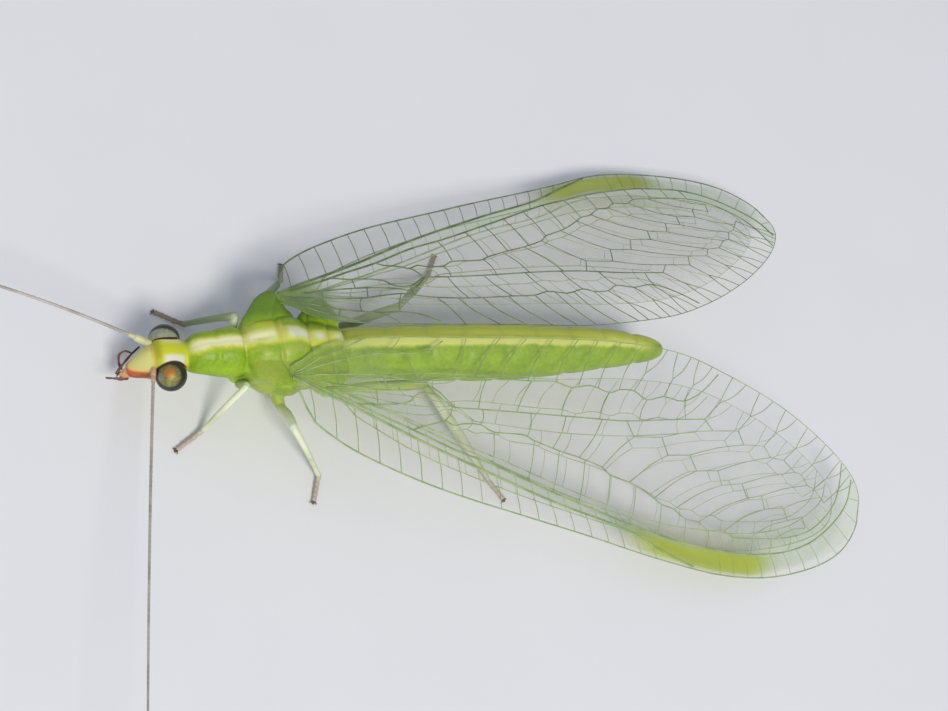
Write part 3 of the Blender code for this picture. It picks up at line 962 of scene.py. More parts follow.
@dataclass(frozen=True)
class Trunk:
    """Head, neck, thorax and abdomen, lofted from oval stations along the body.

    A station is its place along the body, the height of its middle, its half width and its half
    height. Head stations also lean forward, from none at the neck to head_lean at the mouth.
    """

    head: tuple[tuple[float, float, float, float], ...] = (
        (-5.33, 1.27, 0.20, 0.18), (-5.36, 1.27, 0.33, 0.31), (-5.45, 1.27, 0.40, 0.36),
        (-5.60, 1.27, 0.43, 0.39), (-5.75, 1.24, 0.43, 0.40), (-5.93, 1.17, 0.35, 0.37),
        (-6.09, 1.05, 0.25, 0.30), (-6.23, 0.91, 0.17, 0.21), (-6.31, 0.83, 0.12, 0.13),
    )
    head_lean: float = 36.0
    body: tuple[tuple[float, float, float, float], ...] = (
        (-5.48, 1.32, 0.24, 0.22), (-5.34, 1.37, 0.27, 0.24), (-5.27, 1.41, 0.33, 0.30),
        (-5.18, 1.45, 0.38, 0.35), (-5.00, 1.48, 0.42, 0.40), (-4.70, 1.49, 0.47, 0.45),
        (-4.45, 1.49, 0.50, 0.48), (-4.33, 1.47, 0.48, 0.48), (-4.26, 1.43, 0.46, 0.50),
        (-4.18, 1.41, 0.49, 0.58), (-3.95, 1.37, 0.58, 0.72), (-3.60, 1.32, 0.72, 0.84),
        (-3.25, 1.31, 0.74, 0.84), (-3.04, 1.31, 0.68, 0.78), (-2.98, 1.31, 0.65, 0.75),
        (-2.80, 1.32, 0.66, 0.74), (-2.50, 1.34, 0.60, 0.68), (-2.28, 1.36, 0.51, 0.60),
        (-2.20, 1.40, 0.45, 0.54), (-1.95, 1.41, 0.46, 0.54), (-1.15, 1.39, 0.50, 0.57),
        (0.13, 1.36, 0.55, 0.59), (1.45, 1.35, 0.56, 0.59), (2.65, 1.37, 0.49, 0.50),
        (3.58, 1.42, 0.42, 0.43), (4.16, 1.41, 0.35, 0.35), (4.69, 1.38, 0.26, 0.26),
        (4.97, 1.36, 0.17, 0.17), (5.10, 1.35, 0.09, 0.09),
    )
    sides: int = 44
    head_steps: int = 4
    body_steps: int = 6
    belly_start: float = -2.22
    belly_end: float = 5.12
    belly_rings: int = 9
    seams: tuple[float, ...] = (-4.30, -3.68, -2.99, -2.58, -2.22)
    seam_depth: float = 0.045
    seam_width: float = 0.035
    seam_bow: float = 0.10
    ring_groove: float = 0.020
    ring_swell: float = 0.010
    side_groove: float = 0.018
    side_groove_height: float = 1.22
    pleat_depth: float = 0.022
    head_end: float = -5.34
    neck: Spot = (-5.30, -4.35)
    thorax: Spot = (-4.30, -2.30)
    head_folds: tuple[Fold, ...] = (
        Fold(-0.020, -5.98, 0.05, low=1.1, high=1.3), Fold(0.030, -6.12, 0.10, 0.0, 0.12),
        Fold(0.085, -5.62, 0.24, 0.37, 0.12, 1.38, 1.48),
    )
    neck_folds: tuple[Fold, ...] = (
        Fold(-0.022, -4.82, 0.05, low=1.3, high=1.6), Fold(-0.012, -4.82, math.inf, 0.0, 0.035, 1.5, 1.7),
    )
    thorax_folds: tuple[Fold, ...] = (
        Fold(0.05, -3.95, 0.20, 0.34, 0.16, 1.5, 1.9), Fold(0.04, -3.40, 0.22, 0.34, 0.16, 1.5, 1.9),
        Fold(0.07, -3.48, 0.18, 0.0, 0.18, 1.6, 2.0), Fold(-0.03, -3.98, 0.22, 0.0, 0.05, 1.6, 2.0),
    )
    voxel: float = 0.030

    def ovals(self, stations: Sequence[Sequence[float]], steps: int, lean: float = 0.0) -> list[Ring]:
        """Sets ovals between stations.

        Args:
            stations: Station table.
            steps: Ovals to each stretch.
            lean: Forward lean of the last station, in degrees.

        Returns:
            The ovals in order.
        """
        samples = curve_through(stations, steps)
        rings = []
        for index, (along, height, width, depth) in enumerate(samples):
            angle = math.radians(lean) * index / (len(samples) - 1)
            direction = Vector((math.cos(angle), 0.0, math.sin(angle)))
            rings.append(Ring(Vector((along, 0.0, height)), direction, width, depth))
        return rings

    def relief(self, place: Vector) -> float:
        """Reads the depth of seams, belly rings and thorax folds.

        Args:
            place: Point on the body.

        Returns:
            Millimetres outwards.
        """
        depth = 0.0
        for seam in self.seams:
            bow = self.seam_bow * (place.y / 0.6) ** 2
            depth -= self.seam_depth * hump(place.x, seam + bow, self.seam_width)
        if place.x > self.belly_start:
            share = (place.x - self.belly_start) / (self.belly_end - self.belly_start)
            phase = share ** 1.07 * self.belly_rings
            depth -= self.ring_groove * hump(phase - math.floor(phase + 0.5), 0.0, 0.09)
            depth += self.ring_swell * math.sin(math.pi * (phase - math.floor(phase)))
            groove = hump(place.z, self.side_groove_height, 0.06) * smooth(place.x, -2.0, -1.5)
            depth -= self.side_groove * groove
        if self.thorax[0] < place.x < self.thorax[1]:
            depth += sum(fold.at(place) for fold in self.thorax_folds)
            pleat = math.sin((place.x + 0.55 * place.z) * 9.0)
            pleat *= smooth(1.75 - place.z, 0.0, 0.35) * smooth(abs(place.y), 0.35, 0.6)
            depth += self.pleat_depth * pleat
        if self.neck[0] < place.x < self.neck[1]:
            depth += sum(fold.at(place) for fold in self.neck_folds)
        if place.x < self.head_end:
            depth += sum(fold.at(place) for fold in self.head_folds)
        return depth

    def build(self) -> list[bpy.types.Object]:
        """Lofts the head and the body.

        Returns:
            Both forms, still apart.
        """
        head = loft("head_form", self.ovals(self.head, self.head_steps, self.head_lean), self.sides)
        body = loft("body_form", self.ovals(self.body, self.body_steps), self.sides)
        return [head, body]


@dataclass(frozen=True)
class Leg:
    """One leg: hip, thigh, shin, and a foot of five short joints with claws."""

    name: str
    hip: Spot3
    hip_end: Spot3
    knee: Spot3
    ankle: Spot3
    toe: Spot3
    hip_girth: float = 0.19
    thigh_girth: float = 0.100
    shin_girth: float = 0.058
    foot_girth: float = 0.050
    foot_joints: int = 5
    thigh_bow: float = 0.05
    shin_bow: float = 0.03
    arch: float = 0.02
    claw_length: float = 0.08
    claw_girth: float = 0.022
    pad_girth: float = 0.028
    shin_swell: float = 0.012

    def thigh_radius(self, share: float) -> float:
        """Thigh: thickest in its first half, narrow at the knee."""
        return self.thigh_girth * (0.62 + 0.42 * math.sin(math.pi * (0.12 + 0.80 * share)) ** 0.8)

    def shin_radius(self, share: float) -> float:
        """Shin: a small knee, then slim, a little wider at the foot."""
        slim = self.shin_girth * (1.15 - 0.35 * smooth(share, 0.0, 0.5) + 0.12 * smooth(share, 0.8, 1.0))
        return slim + self.shin_swell * math.sin(math.pi * share) ** 2

    def foot_radius(self, share: float) -> float:
        """Foot: a bead to each joint."""
        bead = abs(math.sin(math.pi * self.foot_joints * share))
        return self.foot_girth * (0.72 + 0.30 * bead ** 0.7)

    def bowed(self, start: Spot3, end: Spot3, bow: float) -> list[Spot3]:
        """Draws a path between two joints, bowed upwards.

        Args:
            start: The upper joint.
            end: The lower joint.
            bow: How far its middle is raised.

        Returns:
            The points of the path.
        """
        path = []
        for share in (0.0, 0.25, 0.5, 0.75, 1.0):
            x, y, z = between(start, end, share)
            path.append((x, y, z + bow * math.sin(math.pi * share)))
        return path

    def hip_forms(self) -> list[bpy.types.Object]:
        """Models the hip and the small ring at its end.

        Returns:
            Both forms, which the skin grows over.
        """
        hip = self.bowed(self.hip, self.hip_end, 0.0)
        ring = [self.hip_end, between(self.hip_end, self.knee, 0.22)]
        return [
            tube(
                f"hip_{self.name}", hip, lambda share: self.hip_girth * (1.0 - 0.45 * share),
                steps=3, sides=20,
            ),
            tube(f"hip_ring_{self.name}", ring, lambda share: self.thigh_girth * 1.02, steps=4, sides=20),
        ]

    def limb_forms(self) -> list[bpy.types.Object]:
        """Models the free lengths of the leg.

        Returns:
            Thigh, shin and foot as slim tubes.
        """
        thigh = self.bowed(self.hip_end, self.knee, self.thigh_bow)
        shin = self.bowed(self.knee, self.ankle, self.shin_bow)
        toe = (self.toe[0], self.toe[1], TOE_HEIGHT)
        foot = [between(self.ankle, toe, share) for share in (0.0, 0.35, 0.7, 1.0)]
        foot[1] = (foot[1][0], foot[1][1], max(foot[1][2] - self.arch, TOE_HEIGHT))
        return [
            tube(f"thigh_{self.name}", thigh, self.thigh_radius, steps=5, sides=16),
            tube(f"shin_{self.name}", shin, self.shin_radius, steps=5, sides=14),
            tube(f"foot_{self.name}", foot, self.foot_radius, steps=12, sides=12),
        ]

    def claw_forms(self) -> list[bpy.types.Object]:
        """Models two hooked claws, spread to both sides of the toe, and the pad between them.

        Returns:
            The claws and the pad.
        """
        toe = Vector((self.toe[0], self.toe[1], TOE_HEIGHT))
        ahead = toe - Vector(self.ankle)
        ahead.z = 0.0
        ahead.normalize()
        aside = Vector((-ahead.y, ahead.x, 0.0))
        forms = []
        for sign in (-1, 1):
            path = [
                tuple(toe + ahead * (0.02 + 0.30 * part * self.claw_length)
                      + aside * sign * self.claw_length * (0.10 + 0.75 * part)
                      + Vector((0, 0, 0.035 * math.sin(math.pi * part) - 0.028 * part)))
                for part in (0.0, 0.33, 0.67, 1.0)
            ]
            forms.append(tube(
                f"claw_{self.name}_{sign}", path, lambda share: self.claw_girth * (1.0 - 0.75 * share),
                steps=4, sides=8,
            ))
        pad = [tuple(toe - ahead * 0.02), tuple(toe + ahead * 0.05 - Vector((0, 0, 0.015)))]
        forms.append(tube(f"pad_{self.name}", pad, lambda share: self.pad_girth, steps=3, sides=10))
        return forms


LEGS: tuple[Leg, ...] = (
    Leg("fore_left", (-4.36, -0.18, 1.12), (-4.16, -0.36, 0.86), (-4.22, -0.68, 1.38),
        (-4.80, -0.97, 0.15), (-5.34, -1.31, 0.05), thigh_girth=0.085, hip_girth=0.15),
    Leg("fore_right", (-4.36, 0.18, 1.12), (-4.26, 0.42, 0.86), (-4.20, 0.80, 1.50),
        (-4.71, 1.43, 0.12), (-5.25, 1.75, 0.05), thigh_girth=0.085, shin_girth=0.070, hip_girth=0.15),
    Leg("mid_left", (-3.50, -0.38, 0.95), (-3.34, -0.80, 0.72), (-3.44, -1.60, 1.35),
        (-2.60, -2.03, 0.14), (-2.78, -2.52, 0.05)),
    Leg("mid_right", (-3.55, 0.40, 0.95), (-3.56, 0.80, 0.70), (-3.50, 1.26, 1.36),
        (-2.46, 2.43, 0.14), (-2.35, 2.82, 0.05)),
    Leg("hind_left", (-2.62, -0.36, 0.98), (-2.45, -0.52, 0.80), (-0.20, -0.40, 0.80),
        (0.98, -2.16, 0.14), (1.28, -2.65, 0.05), shin_swell=0.058),
    Leg("hind_right", (-2.62, 0.36, 0.98), (-2.50, 0.66, 0.70), (-0.53, 1.19, 1.16),
        (0.85, 2.53, 0.14), (1.15, 3.05, 0.05), shin_swell=0.040),
)


@dataclass(frozen=True)
class Skin:
    """The one skin over trunk, wing roots and legs."""

    trunk: Trunk = Trunk()
    shoulders: tuple[tuple[tuple[float, ...], ...], ...] = (
        ((-3.64, 0.30, 1.50, 0.70, 0.42), (-3.63, 0.60, 1.75, 0.52, 0.26), (-3.60, 0.82, 1.89, 0.34, 0.14),
         (-3.48, 1.00, 1.97, 0.16, 0.08)),
        ((-2.64, 0.28, 1.50, 0.58, 0.36), (-2.60, 0.52, 1.70, 0.45, 0.22), (-2.54, 0.74, 1.80, 0.31, 0.13),
         (-2.46, 0.92, 1.85, 0.14, 0.08)),
    )

    def shoulder_forms(self) -> list[bpy.types.Object]:
        """Lofts the flat bosses that the wings grow from.

        A station is a place, a half width along the body and a half height.

        Returns:
            Two bosses on each side.
        """
        forms = []
        for side in Side:
            for stations in self.shoulders:
                samples = curve_through(stations, 4)
                spots = [Vector((x, y * side.value, z)) for x, y, z, _, _ in samples]
                last = len(spots) - 1
                rings = []
                for index, spot in enumerate(spots):
                    direction = spots[min(index + 1, last)] - spots[max(index - 1, 0)]
                    rings.append(Ring(spot, direction, *samples[index][3:]))
                forms.append(loft(f"shoulder_{side.word}", rings, sides=24))
        return forms

    def build(self) -> bpy.types.Object:
        """Grows one skin over the forms, adds the slim limbs and sets it down.

        Returns:
            The skin.
        """
        forms = self.trunk.build() + self.shoulder_forms()
        for leg in LEGS:
            forms.extend(leg.hip_forms())
        body = Bench.join(forms, "skin")
        Bench.modify(body, "REMESH", mode="VOXEL", voxel_size=self.trunk.voxel)
        Bench.modify(body, "SMOOTH", factor=0.5, iterations=3)
        Bench.sculpt(body, self.trunk.relief)
        Bench.modify(body, "SMOOTH", factor=0.4, iterations=1)
        Bench.dress(body, SkinFinish().make())
        limbs = Bench.join([form for leg in LEGS for form in leg.limb_forms()], "limbs")
        Bench.dress(limbs, LegFinish().make())
        skin = Bench.join([body, limbs], "skin")
        nodes = ["head", "prothorax", "mesothorax", "metathorax", "abdomen"]
        nodes += [f"leg_{leg.name}_{part}" for leg in LEGS for part in ("coxa", "femur", "tibia", "tarsus")]
        return Bench.set_down(skin, "body_green", nodes)


@dataclass(frozen=True)
class Claws:
    """Claws and pads of the six feet."""

    finish: HornFinish = HornFinish("claw_brown", (0.160, 0.085, 0.045), (0.070, 0.040, 0.025), roughness=0.3)

    def build(self) -> bpy.types.Object:
        """Models each foot's claws and joins them.

        Returns:
            The claws as one piece.
        """
        claws = Bench.join([form for leg in LEGS for form in leg.claw_forms()], "claws")
        return Bench.set_down(Bench.dress(claws, self.finish.make()), "leg_tarsus")


@dataclass(frozen=True)
class Eye:
    """One ball of an eye, set in the side of the head."""

    side: Side
    pole: Spot3
    radius: float = 0.30
    reach: float = 0.400
    flatness: float = 0.96

    @property
    def centre(self) -> Spot3:
        """Middle of the ball."""
        return (EYE_MIDDLE.x, self.reach * self.side.value, EYE_MIDDLE.z)

    def build(self) -> bpy.types.Object:
        """Adds the ball, its poles pointing sideways, and presses it a little flat.

        Returns:
            The eye.
        """
        Bench.clear()
        bpy.ops.mesh.primitive_uv_sphere_add(
            segments=56, ring_count=36, radius=self.radius, location=self.centre,
            rotation=(math.pi / 2, 0.0, 0.0),
        )
        ball = bpy.context.object
        ball.name = f"{self.side.word}_eye"
        Bench.apply_place(ball)
        bpy.ops.object.mode_set(mode="EDIT")
        bpy.ops.mesh.select_all(action="SELECT")
        bpy.ops.transform.resize(value=(1.0, self.flatness, 1.0), center_override=self.centre)
        bpy.ops.object.mode_set(mode="OBJECT")
        Bench.dress(ball, EyeFinish().make(self.side, self.centre, self.pole))
        return Bench.set_down(ball, "eye", [f"eye_{self.side.word}"])


@dataclass(frozen=True)
class Mouth:
    """Pale snout, jaws and thin dark palps under the face."""

    snout: tuple[tuple[float, float, float, float], ...] = (
        (-6.22, 0.85, 0.12, 0.13), (-6.30, 0.77, 0.10, 0.11), (-6.37, 0.70, 0.08, 0.08),
        (-6.42, 0.65, 0.04, 0.04),
    )
    lean: float = 36.0
    palps: tuple[tuple[Spot3, ...], ...] = (
        ((-6.28, -0.09, 0.69), (-6.42, -0.08, 0.68), (-6.57, -0.06, 0.66), (-6.70, -0.04, 0.65)),
        ((-6.36, 0.14, 0.66), (-6.39, 0.26, 0.66), (-6.38, 0.41, 0.72), (-6.27, 0.46, 0.78),
         (-6.15, 0.40, 0.80)),
        ((-6.48, 0.05, 0.64), (-6.34, 0.20, 0.76), (-6.19, 0.34, 0.87), (-6.03, 0.46, 0.95)),
        ((-6.30, -0.02, 0.60), (-6.36, -0.02, 0.54), (-6.41, 0.00, 0.50)),
    )
    jaws: tuple[tuple[Spot3, ...], ...] = (
        ((-6.32, -0.08, 0.68), (-6.41, -0.07, 0.62), (-6.46, -0.01, 0.59)),
        ((-6.32, 0.08, 0.68), (-6.41, 0.07, 0.62), (-6.46, 0.02, 0.59)),
    )
    palp_girth: float = 0.030
    jaw_girth: float = 0.028
    pale: HornFinish = HornFinish(
        "mouth_cream", (0.720, 0.420, 0.230), (0.560, 0.230, 0.080), roughness=0.35, grain=0.09,
    )
    brown: HornFinish = HornFinish(
        "mouth_brown", (0.170, 0.065, 0.038), (0.080, 0.030, 0.020), roughness=0.35,
    )

    def palp_radius(self, share: float) -> float:
        """A bead to each joint of a palp, pointed at the tip."""
        return self.palp_girth * (0.75 + 0.30 * abs(math.sin(math.pi * 3 * share))) * (1.0 - 0.35 * share)

    def build(self) -> bpy.types.Object:
        """Lofts the snout, adds two pairs of palps and two jaws.

        Returns:
            The mouth.
        """
        angle = math.radians(self.lean)
        direction = Vector((math.cos(angle), 0.0, math.sin(angle)))
        rings = [
            Ring(Vector((along, 0.0, height)), direction, width, depth)
            for along, height, width, depth in curve_through(self.snout, 4)
        ]
        snout = loft("snout", rings, sides=24)
        jaws = [
            tube("jaw", path, lambda share: self.jaw_girth * (1.0 - 0.6 * share), steps=5, sides=10)
            for path in self.jaws
        ]
        palps = [tube("palp", path, self.palp_radius, steps=6, sides=12) for path in self.palps]
        Bench.dress(snout, self.pale.make())
        brown = self.brown.make()
        for item in jaws + palps:
            Bench.dress(item, brown)
        mouth = Bench.join([snout, *jaws, *palps], "mouth")
        return Bench.set_down(mouth, "mouth_brown", ["mouthparts", "palp_left", "palp_right"])


@dataclass(frozen=True)
class Feeler:
    """A feeler: a thick first joint and a long thread of many short joints."""

    side: Side
    root: Spot3
    heading: float
    sweep: float
    scape_tones: tuple[Colour, Colour]
    length: float = 10.9
    rise: float = 12.0
    scape: float = 0.32
    scape_girth: float = 0.072
    thread_girth: float = 0.034
    joints: int = 92
    thread_tones: tuple[Colour, Colour] = ((0.500, 0.460, 0.400), (0.360, 0.330, 0.280))

    def place(self, distance: float) -> Spot3:
        """Follows the feeler's line.

        Args:
            distance: Millimetres from its root.

        Returns:
            The point there.
        """
        share = distance / self.length
        turn = math.radians(self.heading + self.sweep * share)
        climb = math.radians(self.rise) * (1.0 - 0.25 * share)
        return (
            self.root[0] - distance * math.cos(turn) * math.cos(climb),
            self.root[1] + self.side.value * distance * math.sin(turn) * math.cos(climb),
            self.root[2] + distance * math.sin(climb),
        )

    def build(self) -> bpy.types.Object:
        """Lofts the first joints and sweeps the thread.

        Returns:
            The feeler.
        """
        scape = tube(
            "scape", [self.place(self.scape * part) for part in (0.0, 0.5, 1.0)],
            lambda share: self.scape_girth * (0.80 + 0.28 * math.sin(math.pi * (0.15 + 0.7 * share))),
            steps=5, sides=18,
        )
        ball = tube(
            "second_joint", [self.place(self.scape + 0.03), self.place(self.scape + 0.14)],
            lambda share: self.thread_girth * 1.35, steps=4, sides=16,
        )
        course = []
        start = self.scape + 0.12
        reach = self.length - start
        for index in range(self.joints * 3 + 1):
            share = index / (self.joints * 3)
            bead = 1.0 if index % 3 else 0.86
            girth = self.thread_girth * (1.0 - 0.50 * share) * bead
            course.append((self.place(start + reach * share), girth))
        thread = swept("thread", [(course, 0)], roundness=2)
        stem = HornFinish(f"feeler_stem_{self.side.word}", *self.scape_tones, roughness=0.4, grain=0.2).make()
        pale = HornFinish(f"feeler_{self.side.word}", *self.thread_tones, roughness=0.45, grain=0.4).make()
        for item, finish in ((scape, stem), (ball, stem), (thread, pale)):
            Bench.dress(item, finish)
        feeler = Bench.join([scape, ball, thread], f"{self.side.word}_feeler")
        nodes = [f"antenna_{self.side.word}_{part}" for part in ("scape", "flagellum")]
        return Bench.set_down(feeler, "antenna_tan", nodes)


Course = list[tuple[Spot3, float]]


def swept(name: str, courses: Sequence[tuple[Course, int]], roundness: int) -> bpy.types.Object:
    """Sweeps round threads along courses and makes them one mesh.

    Args:
        name: Name of the new object.
        courses: Each course's points with their radius, and its material's number.
        roundness: Bevel resolution of the threads.

    Returns:
        The mesh, with capped ends.
    """
    line = bpy.data.curves.new(name, "CURVE")
    line.dimensions = "3D"
    line.bevel_depth = 1.0
    line.bevel_resolution = roundness
    line.use_fill_caps = True
    for course, number in courses:
        spline = line.splines.new("POLY")
        spline.points.add(len(course) - 1)
        spline.material_index = number
        for point, (place, girth) in zip(spline.points, course):
            point.co = (*place, 1.0)
            point.radius = girth
    item = bpy.data.objects.new(name, line)
    bpy.context.collection.objects.link(item)
    for _ in range(1 + max(number for _, number in courses)):
        item.data.materials.append(None)
    Bench.take(item)
    bpy.ops.object.convert(target="MESH")
    return bpy.context.object


class VeinTone(Enum):
    """Colour of a vein, with its material's number."""

    GREEN = 0
    DARK = 1
    PALE = 2
    SAGE = 3


@dataclass(frozen=True)
class Vein:
    """One vein of the net: points along and across the wing, and half its thickness."""

    course: tuple[Spot, ...]
    girth: float
    tone: VeinTone


@dataclass(frozen=True)
class WingOutline:
    """Outline of a wing: share of its length, front edge and rear edge across it."""

    length: float
    stations: tuple[tuple[float, float, float], ...]

    def edge(self, column: int, share: float) -> float:
        """An edge across the wing at a share of its length.

        Stations are read by the square root of their distance from the tip, which rounds it.

        Args:
            column: 1 for the front edge, 2 for the rear one.
            share: Share of the wing's length.

        Returns:
            Millimetres across the wing.
        """
        points = [(math.sqrt(1.0 - row[0]), row[column]) for row in self.stations]
        key = math.sqrt(1.0 - min(max(share, 0.0), 1.0))
        last = len(points) - 1
        index = 0
        while index < last - 1 and points[index + 1][0] > key:
            index += 1

        def slope(place: int) -> float:
            """Slope of the edge at a station."""
            low, high = points[max(place - 1, 0)], points[min(place + 1, last)]
            return (high[1] - low[1]) / (high[0] - low[0])

        (start, low), (end, high) = points[index], points[index + 1]
        width = end - start
        return hermite((key - start) / width, low, high, width * slope(index), width * slope(index + 1))

    def front(self, along: float) -> float:
        """The front edge at a distance along the wing."""
        return self.edge(1, along / self.length)

    def rear(self, along: float) -> float:
        """The rear edge at a distance along the wing."""
        return self.edge(2, along / self.length)

    def inside(self, spot: Spot) -> Spot:
        """The nearest spot within the outline, straight across the wing."""
        along = min(max(spot[0], 0.0), self.length * 0.998)
        return along, min(max(spot[1], self.rear(along)), self.front(along))

    def near_tip(self, turn: float) -> Spot:
        """A spot of the edge near the tip: 1 and -1 are well up the front and the rear edge."""
        share = 1.0 - (turn * 0.30) ** 2
        return share * self.length, self.edge(1 if turn > 0 else 2, share)


FOREWING = WingOutline(13.10, (
    (0.00, 0.20, -0.30), (0.03, 0.55, -0.66), (0.06, 0.82, -0.88), (0.13, 1.13, -1.24),
    (0.25, 1.40, -1.63), (0.40, 1.54, -2.12), (0.52, 1.63, -2.46), (0.64, 1.74, -2.61),
    (0.74, 1.78, -2.43), (0.83, 1.61, -2.11), (0.91, 1.22, -1.66), (0.965, 0.74, -1.20),
    (0.99, 0.28, -0.84), (1.00, -0.32, -0.32),
))
HINDWING = WingOutline(11.60, (
    (0.00, 0.24, -0.20), (0.08, 0.55, -0.48), (0.18, 0.86, -0.80), (0.33, 1.12, -1.16),
    (0.42, 1.22, -1.38), (0.55, 1.32, -1.76), (0.68, 1.38, -1.94), (0.80, 1.22, -1.74),
    (0.90, 0.86, -1.32), (0.965, 0.46, -0.90), (0.99, 0.16, -0.64), (1.00, -0.26, -0.26),
))


@dataclass(frozen=True)
class VeinNet:
    """The net of veins of a forewing, in its own millimetres.

    Long veins have points chosen along them. Cross veins are ladders between two long veins.
    The outer field is a fan of branches stepped by two rows of short veins.
    """

    wing: WingOutline = FOREWING
    coarse: float = 0.028
    rim: float = 0.017
    middle: float = 0.0145
    fine: float = 0.0100
    pale_reach: float = 1.7
    green_reach: float = 3.3
    subcosta: tuple[Spot, ...] = (
        (0.05, 0.04), (1.05, 0.20), (1.95, 0.38), (3.40, 0.70), (4.90, 0.97), (6.05, 1.15),
        (7.00, 1.25), (7.60, 1.34), (8.20, 1.50), (8.80, 1.66), (9.20, 1.74),
    )
    radius: tuple[Spot, ...] = (
        (0.05, -0.02), (1.10, 0.12), (1.90, 0.27), (2.70, 0.40), (3.65, 0.59), (4.43, 0.68),
        (5.11, 0.79), (5.78, 0.91), (6.45, 1.01), (7.15, 1.12), (7.84, 1.22), (8.50, 1.27),
        (9.20, 1.29), (10.10, 1.25), (10.60, 1.18), (11.20, 1.02), (11.62, 0.84), (12.02, 0.58),
        (12.40, 0.20), (12.66, -0.16), (12.80, -0.50), (12.84, -0.92),
    )
    sector: tuple[Spot, ...] = (
        (2.70, 0.40), (2.92, 0.27), (3.15, 0.16), (3.33, 0.07), (3.55, 0.11), (3.74, 0.03),
        (4.11, -0.04), (4.41, 0.04), (5.05, -0.06), (5.32, 0.00), (5.90, 0.07), (6.36, 0.10),
        (6.90, 0.18), (7.10, 0.29), (7.64, 0.37), (8.11, 0.53), (8.33, 0.63), (8.62, 0.66),
        (8.94, 0.80), (9.23, 0.79), (9.50, 0.91), (9.85, 0.83), (10.08, 0.92), (10.50, 0.86),
        (11.20, 0.71), (11.80, 0.46), (12.20, 0.10), (12.46, -0.30), (12.56, -0.72), (12.58, -1.22),
    )
    media: tuple[Spot, ...] = (
        (0.90, 0.08), (1.43, 0.17), (1.90, 0.08), (2.28, -0.02), (2.55, -0.14), (2.63, -0.26),
        (2.75, -0.36), (2.95, -0.40), (3.14, -0.38), (3.30, -0.31), (3.50, -0.25), (4.02, -0.34),
        (4.85, -0.48), (5.83, -0.64), (6.69, -0.78), (7.35, -0.90), (8.27, -1.15), (9.15, -1.37),
    )
    media_low: tuple[Spot, ...] = (
        (0.60, -0.06), (1.20, -0.12), (1.80, -0.20), (2.30, -0.30), (2.63, -0.40), (3.00, -0.52),
        (3.50, -0.25),
    )
    cubitus: tuple[Spot, ...] = (
        (0.10, -0.08), (0.60, -0.20), (1.20, -0.36), (1.79, -0.50), (2.20, -0.53), (2.70, -0.58),
        (3.05, -0.72), (3.40, -0.84), (4.18, -1.02), (5.10, -1.19), (5.61, -1.30), (6.00, -1.27),
        (6.43, -1.42), (6.87, -1.38), (7.09, -1.50), (7.44, -1.56), (7.76, -1.45), (8.14, -1.61),
        (8.62, -1.63), (9.04, -1.95), (9.38, -2.40),
    )
    first_anal: tuple[Spot, ...] = (
        (0.10, -0.12), (0.70, -0.44), (1.30, -0.74), (1.89, -0.96), (2.33, -1.06), (2.75, -1.22),
        (3.05, -1.50),
    )
    second_anal: tuple[Spot, ...] = ((0.10, -0.16), (0.60, -0.56), (1.05, -0.86), (1.50, -1.22))
    sector_steps: tuple[float, ...] = (
        4.41, 5.32, 5.90, 6.50, 7.10, 7.70, 8.33, 8.94, 9.50, 10.08, 10.55, 11.00, 11.45,
    )
    media_steps: tuple[Spot, ...] = (
        (3.33, 3.45), (4.10, 4.11), (5.15, 5.17), (5.75, 5.95), (6.36, 6.78),
    )
    cubitus_steps: tuple[Spot, ...] = (
        (3.05, 2.95), (4.02, 4.12), (4.86, 5.11), (5.84, 6.00), (6.71, 6.87), (7.64, 7.76), (8.71, 8.67),
    )
    fringe: tuple[Spot, ...] = (
        (3.40, 3.55), (3.88, 4.30), (4.43, 4.88), (5.02, 5.48), (5.63, 6.05), (6.15, 6.50),
        (6.60, 7.02), (7.09, 7.52),
    )
    forked_fringe: tuple[Spot, ...] = ((7.44, 7.94), (8.14, 8.52), (8.62, 9.05))
    branches: tuple[Spot, ...] = (
        (6.90, 0.18), (7.55, 0.35), (8.15, 0.54), (8.64, 0.66), (9.25, 0.79), (9.87, 0.84),
        (10.47, 0.86), (11.05, 0.76),
    )
    inner_rear: tuple[Spot, ...] = (
        (7.35, -0.90), (8.20, -0.76), (8.88, -0.54), (9.58, -0.37), (10.18, -0.23), (10.68, -0.09),
        (11.24, 0.05), (11.70, 0.14),
    )
    inner_front: tuple[Spot, ...] = (
        (7.55, -0.61), (8.38, -0.42), (9.08, -0.25), (9.71, -0.09), (10.35, 0.04), (10.78, 0.18),
        (11.35, 0.30), (11.80, 0.36),
    )
    outer_rear: tuple[Spot, ...] = (
        (9.15, -1.37), (9.97, -1.31), (10.63, -1.14), (11.15, -0.96), (11.62, -0.76), (11.95, -0.52),
        (12.22, -0.28),
    )
    outer_front: tuple[Spot, ...] = (
        (9.37, -1.17), (10.13, -1.05), (10.82, -0.94), (11.45, -0.77), (11.78, -0.56), (12.12, -0.38),
    )
    tip_cells: tuple[Spot, ...] = ((12.22, 0.40), (12.50, 0.08), (12.70, -0.24), (12.80, -0.52))
    outer_rim: tuple[Spot, ...] = (
        (9.74, 10.08), (10.42, 10.76), (11.08, 11.38), (11.66, 11.92), (12.15, 12.36), (12.54, 12.70),
        (12.82, 12.92),
    )
    first_cell: float = 0.62
    last_cell: float = 8.6
    tip_steps: int = 8
    spot_rise: Spot = (7.2, 8.5)
    spot_fall: Spot = (10.5, 11.4)
    stain_rise: Spot = (3.5, 7.0)
    stain_fall: Spot = (7.5, 9.0)
    tip_rise: Spot = (9.4, 11.2)

    def read(self, course: Sequence[Spot], along: float) -> Spot:
        """The point of a long vein at a distance along the wing."""
        return along, read_table(course, 1, along)

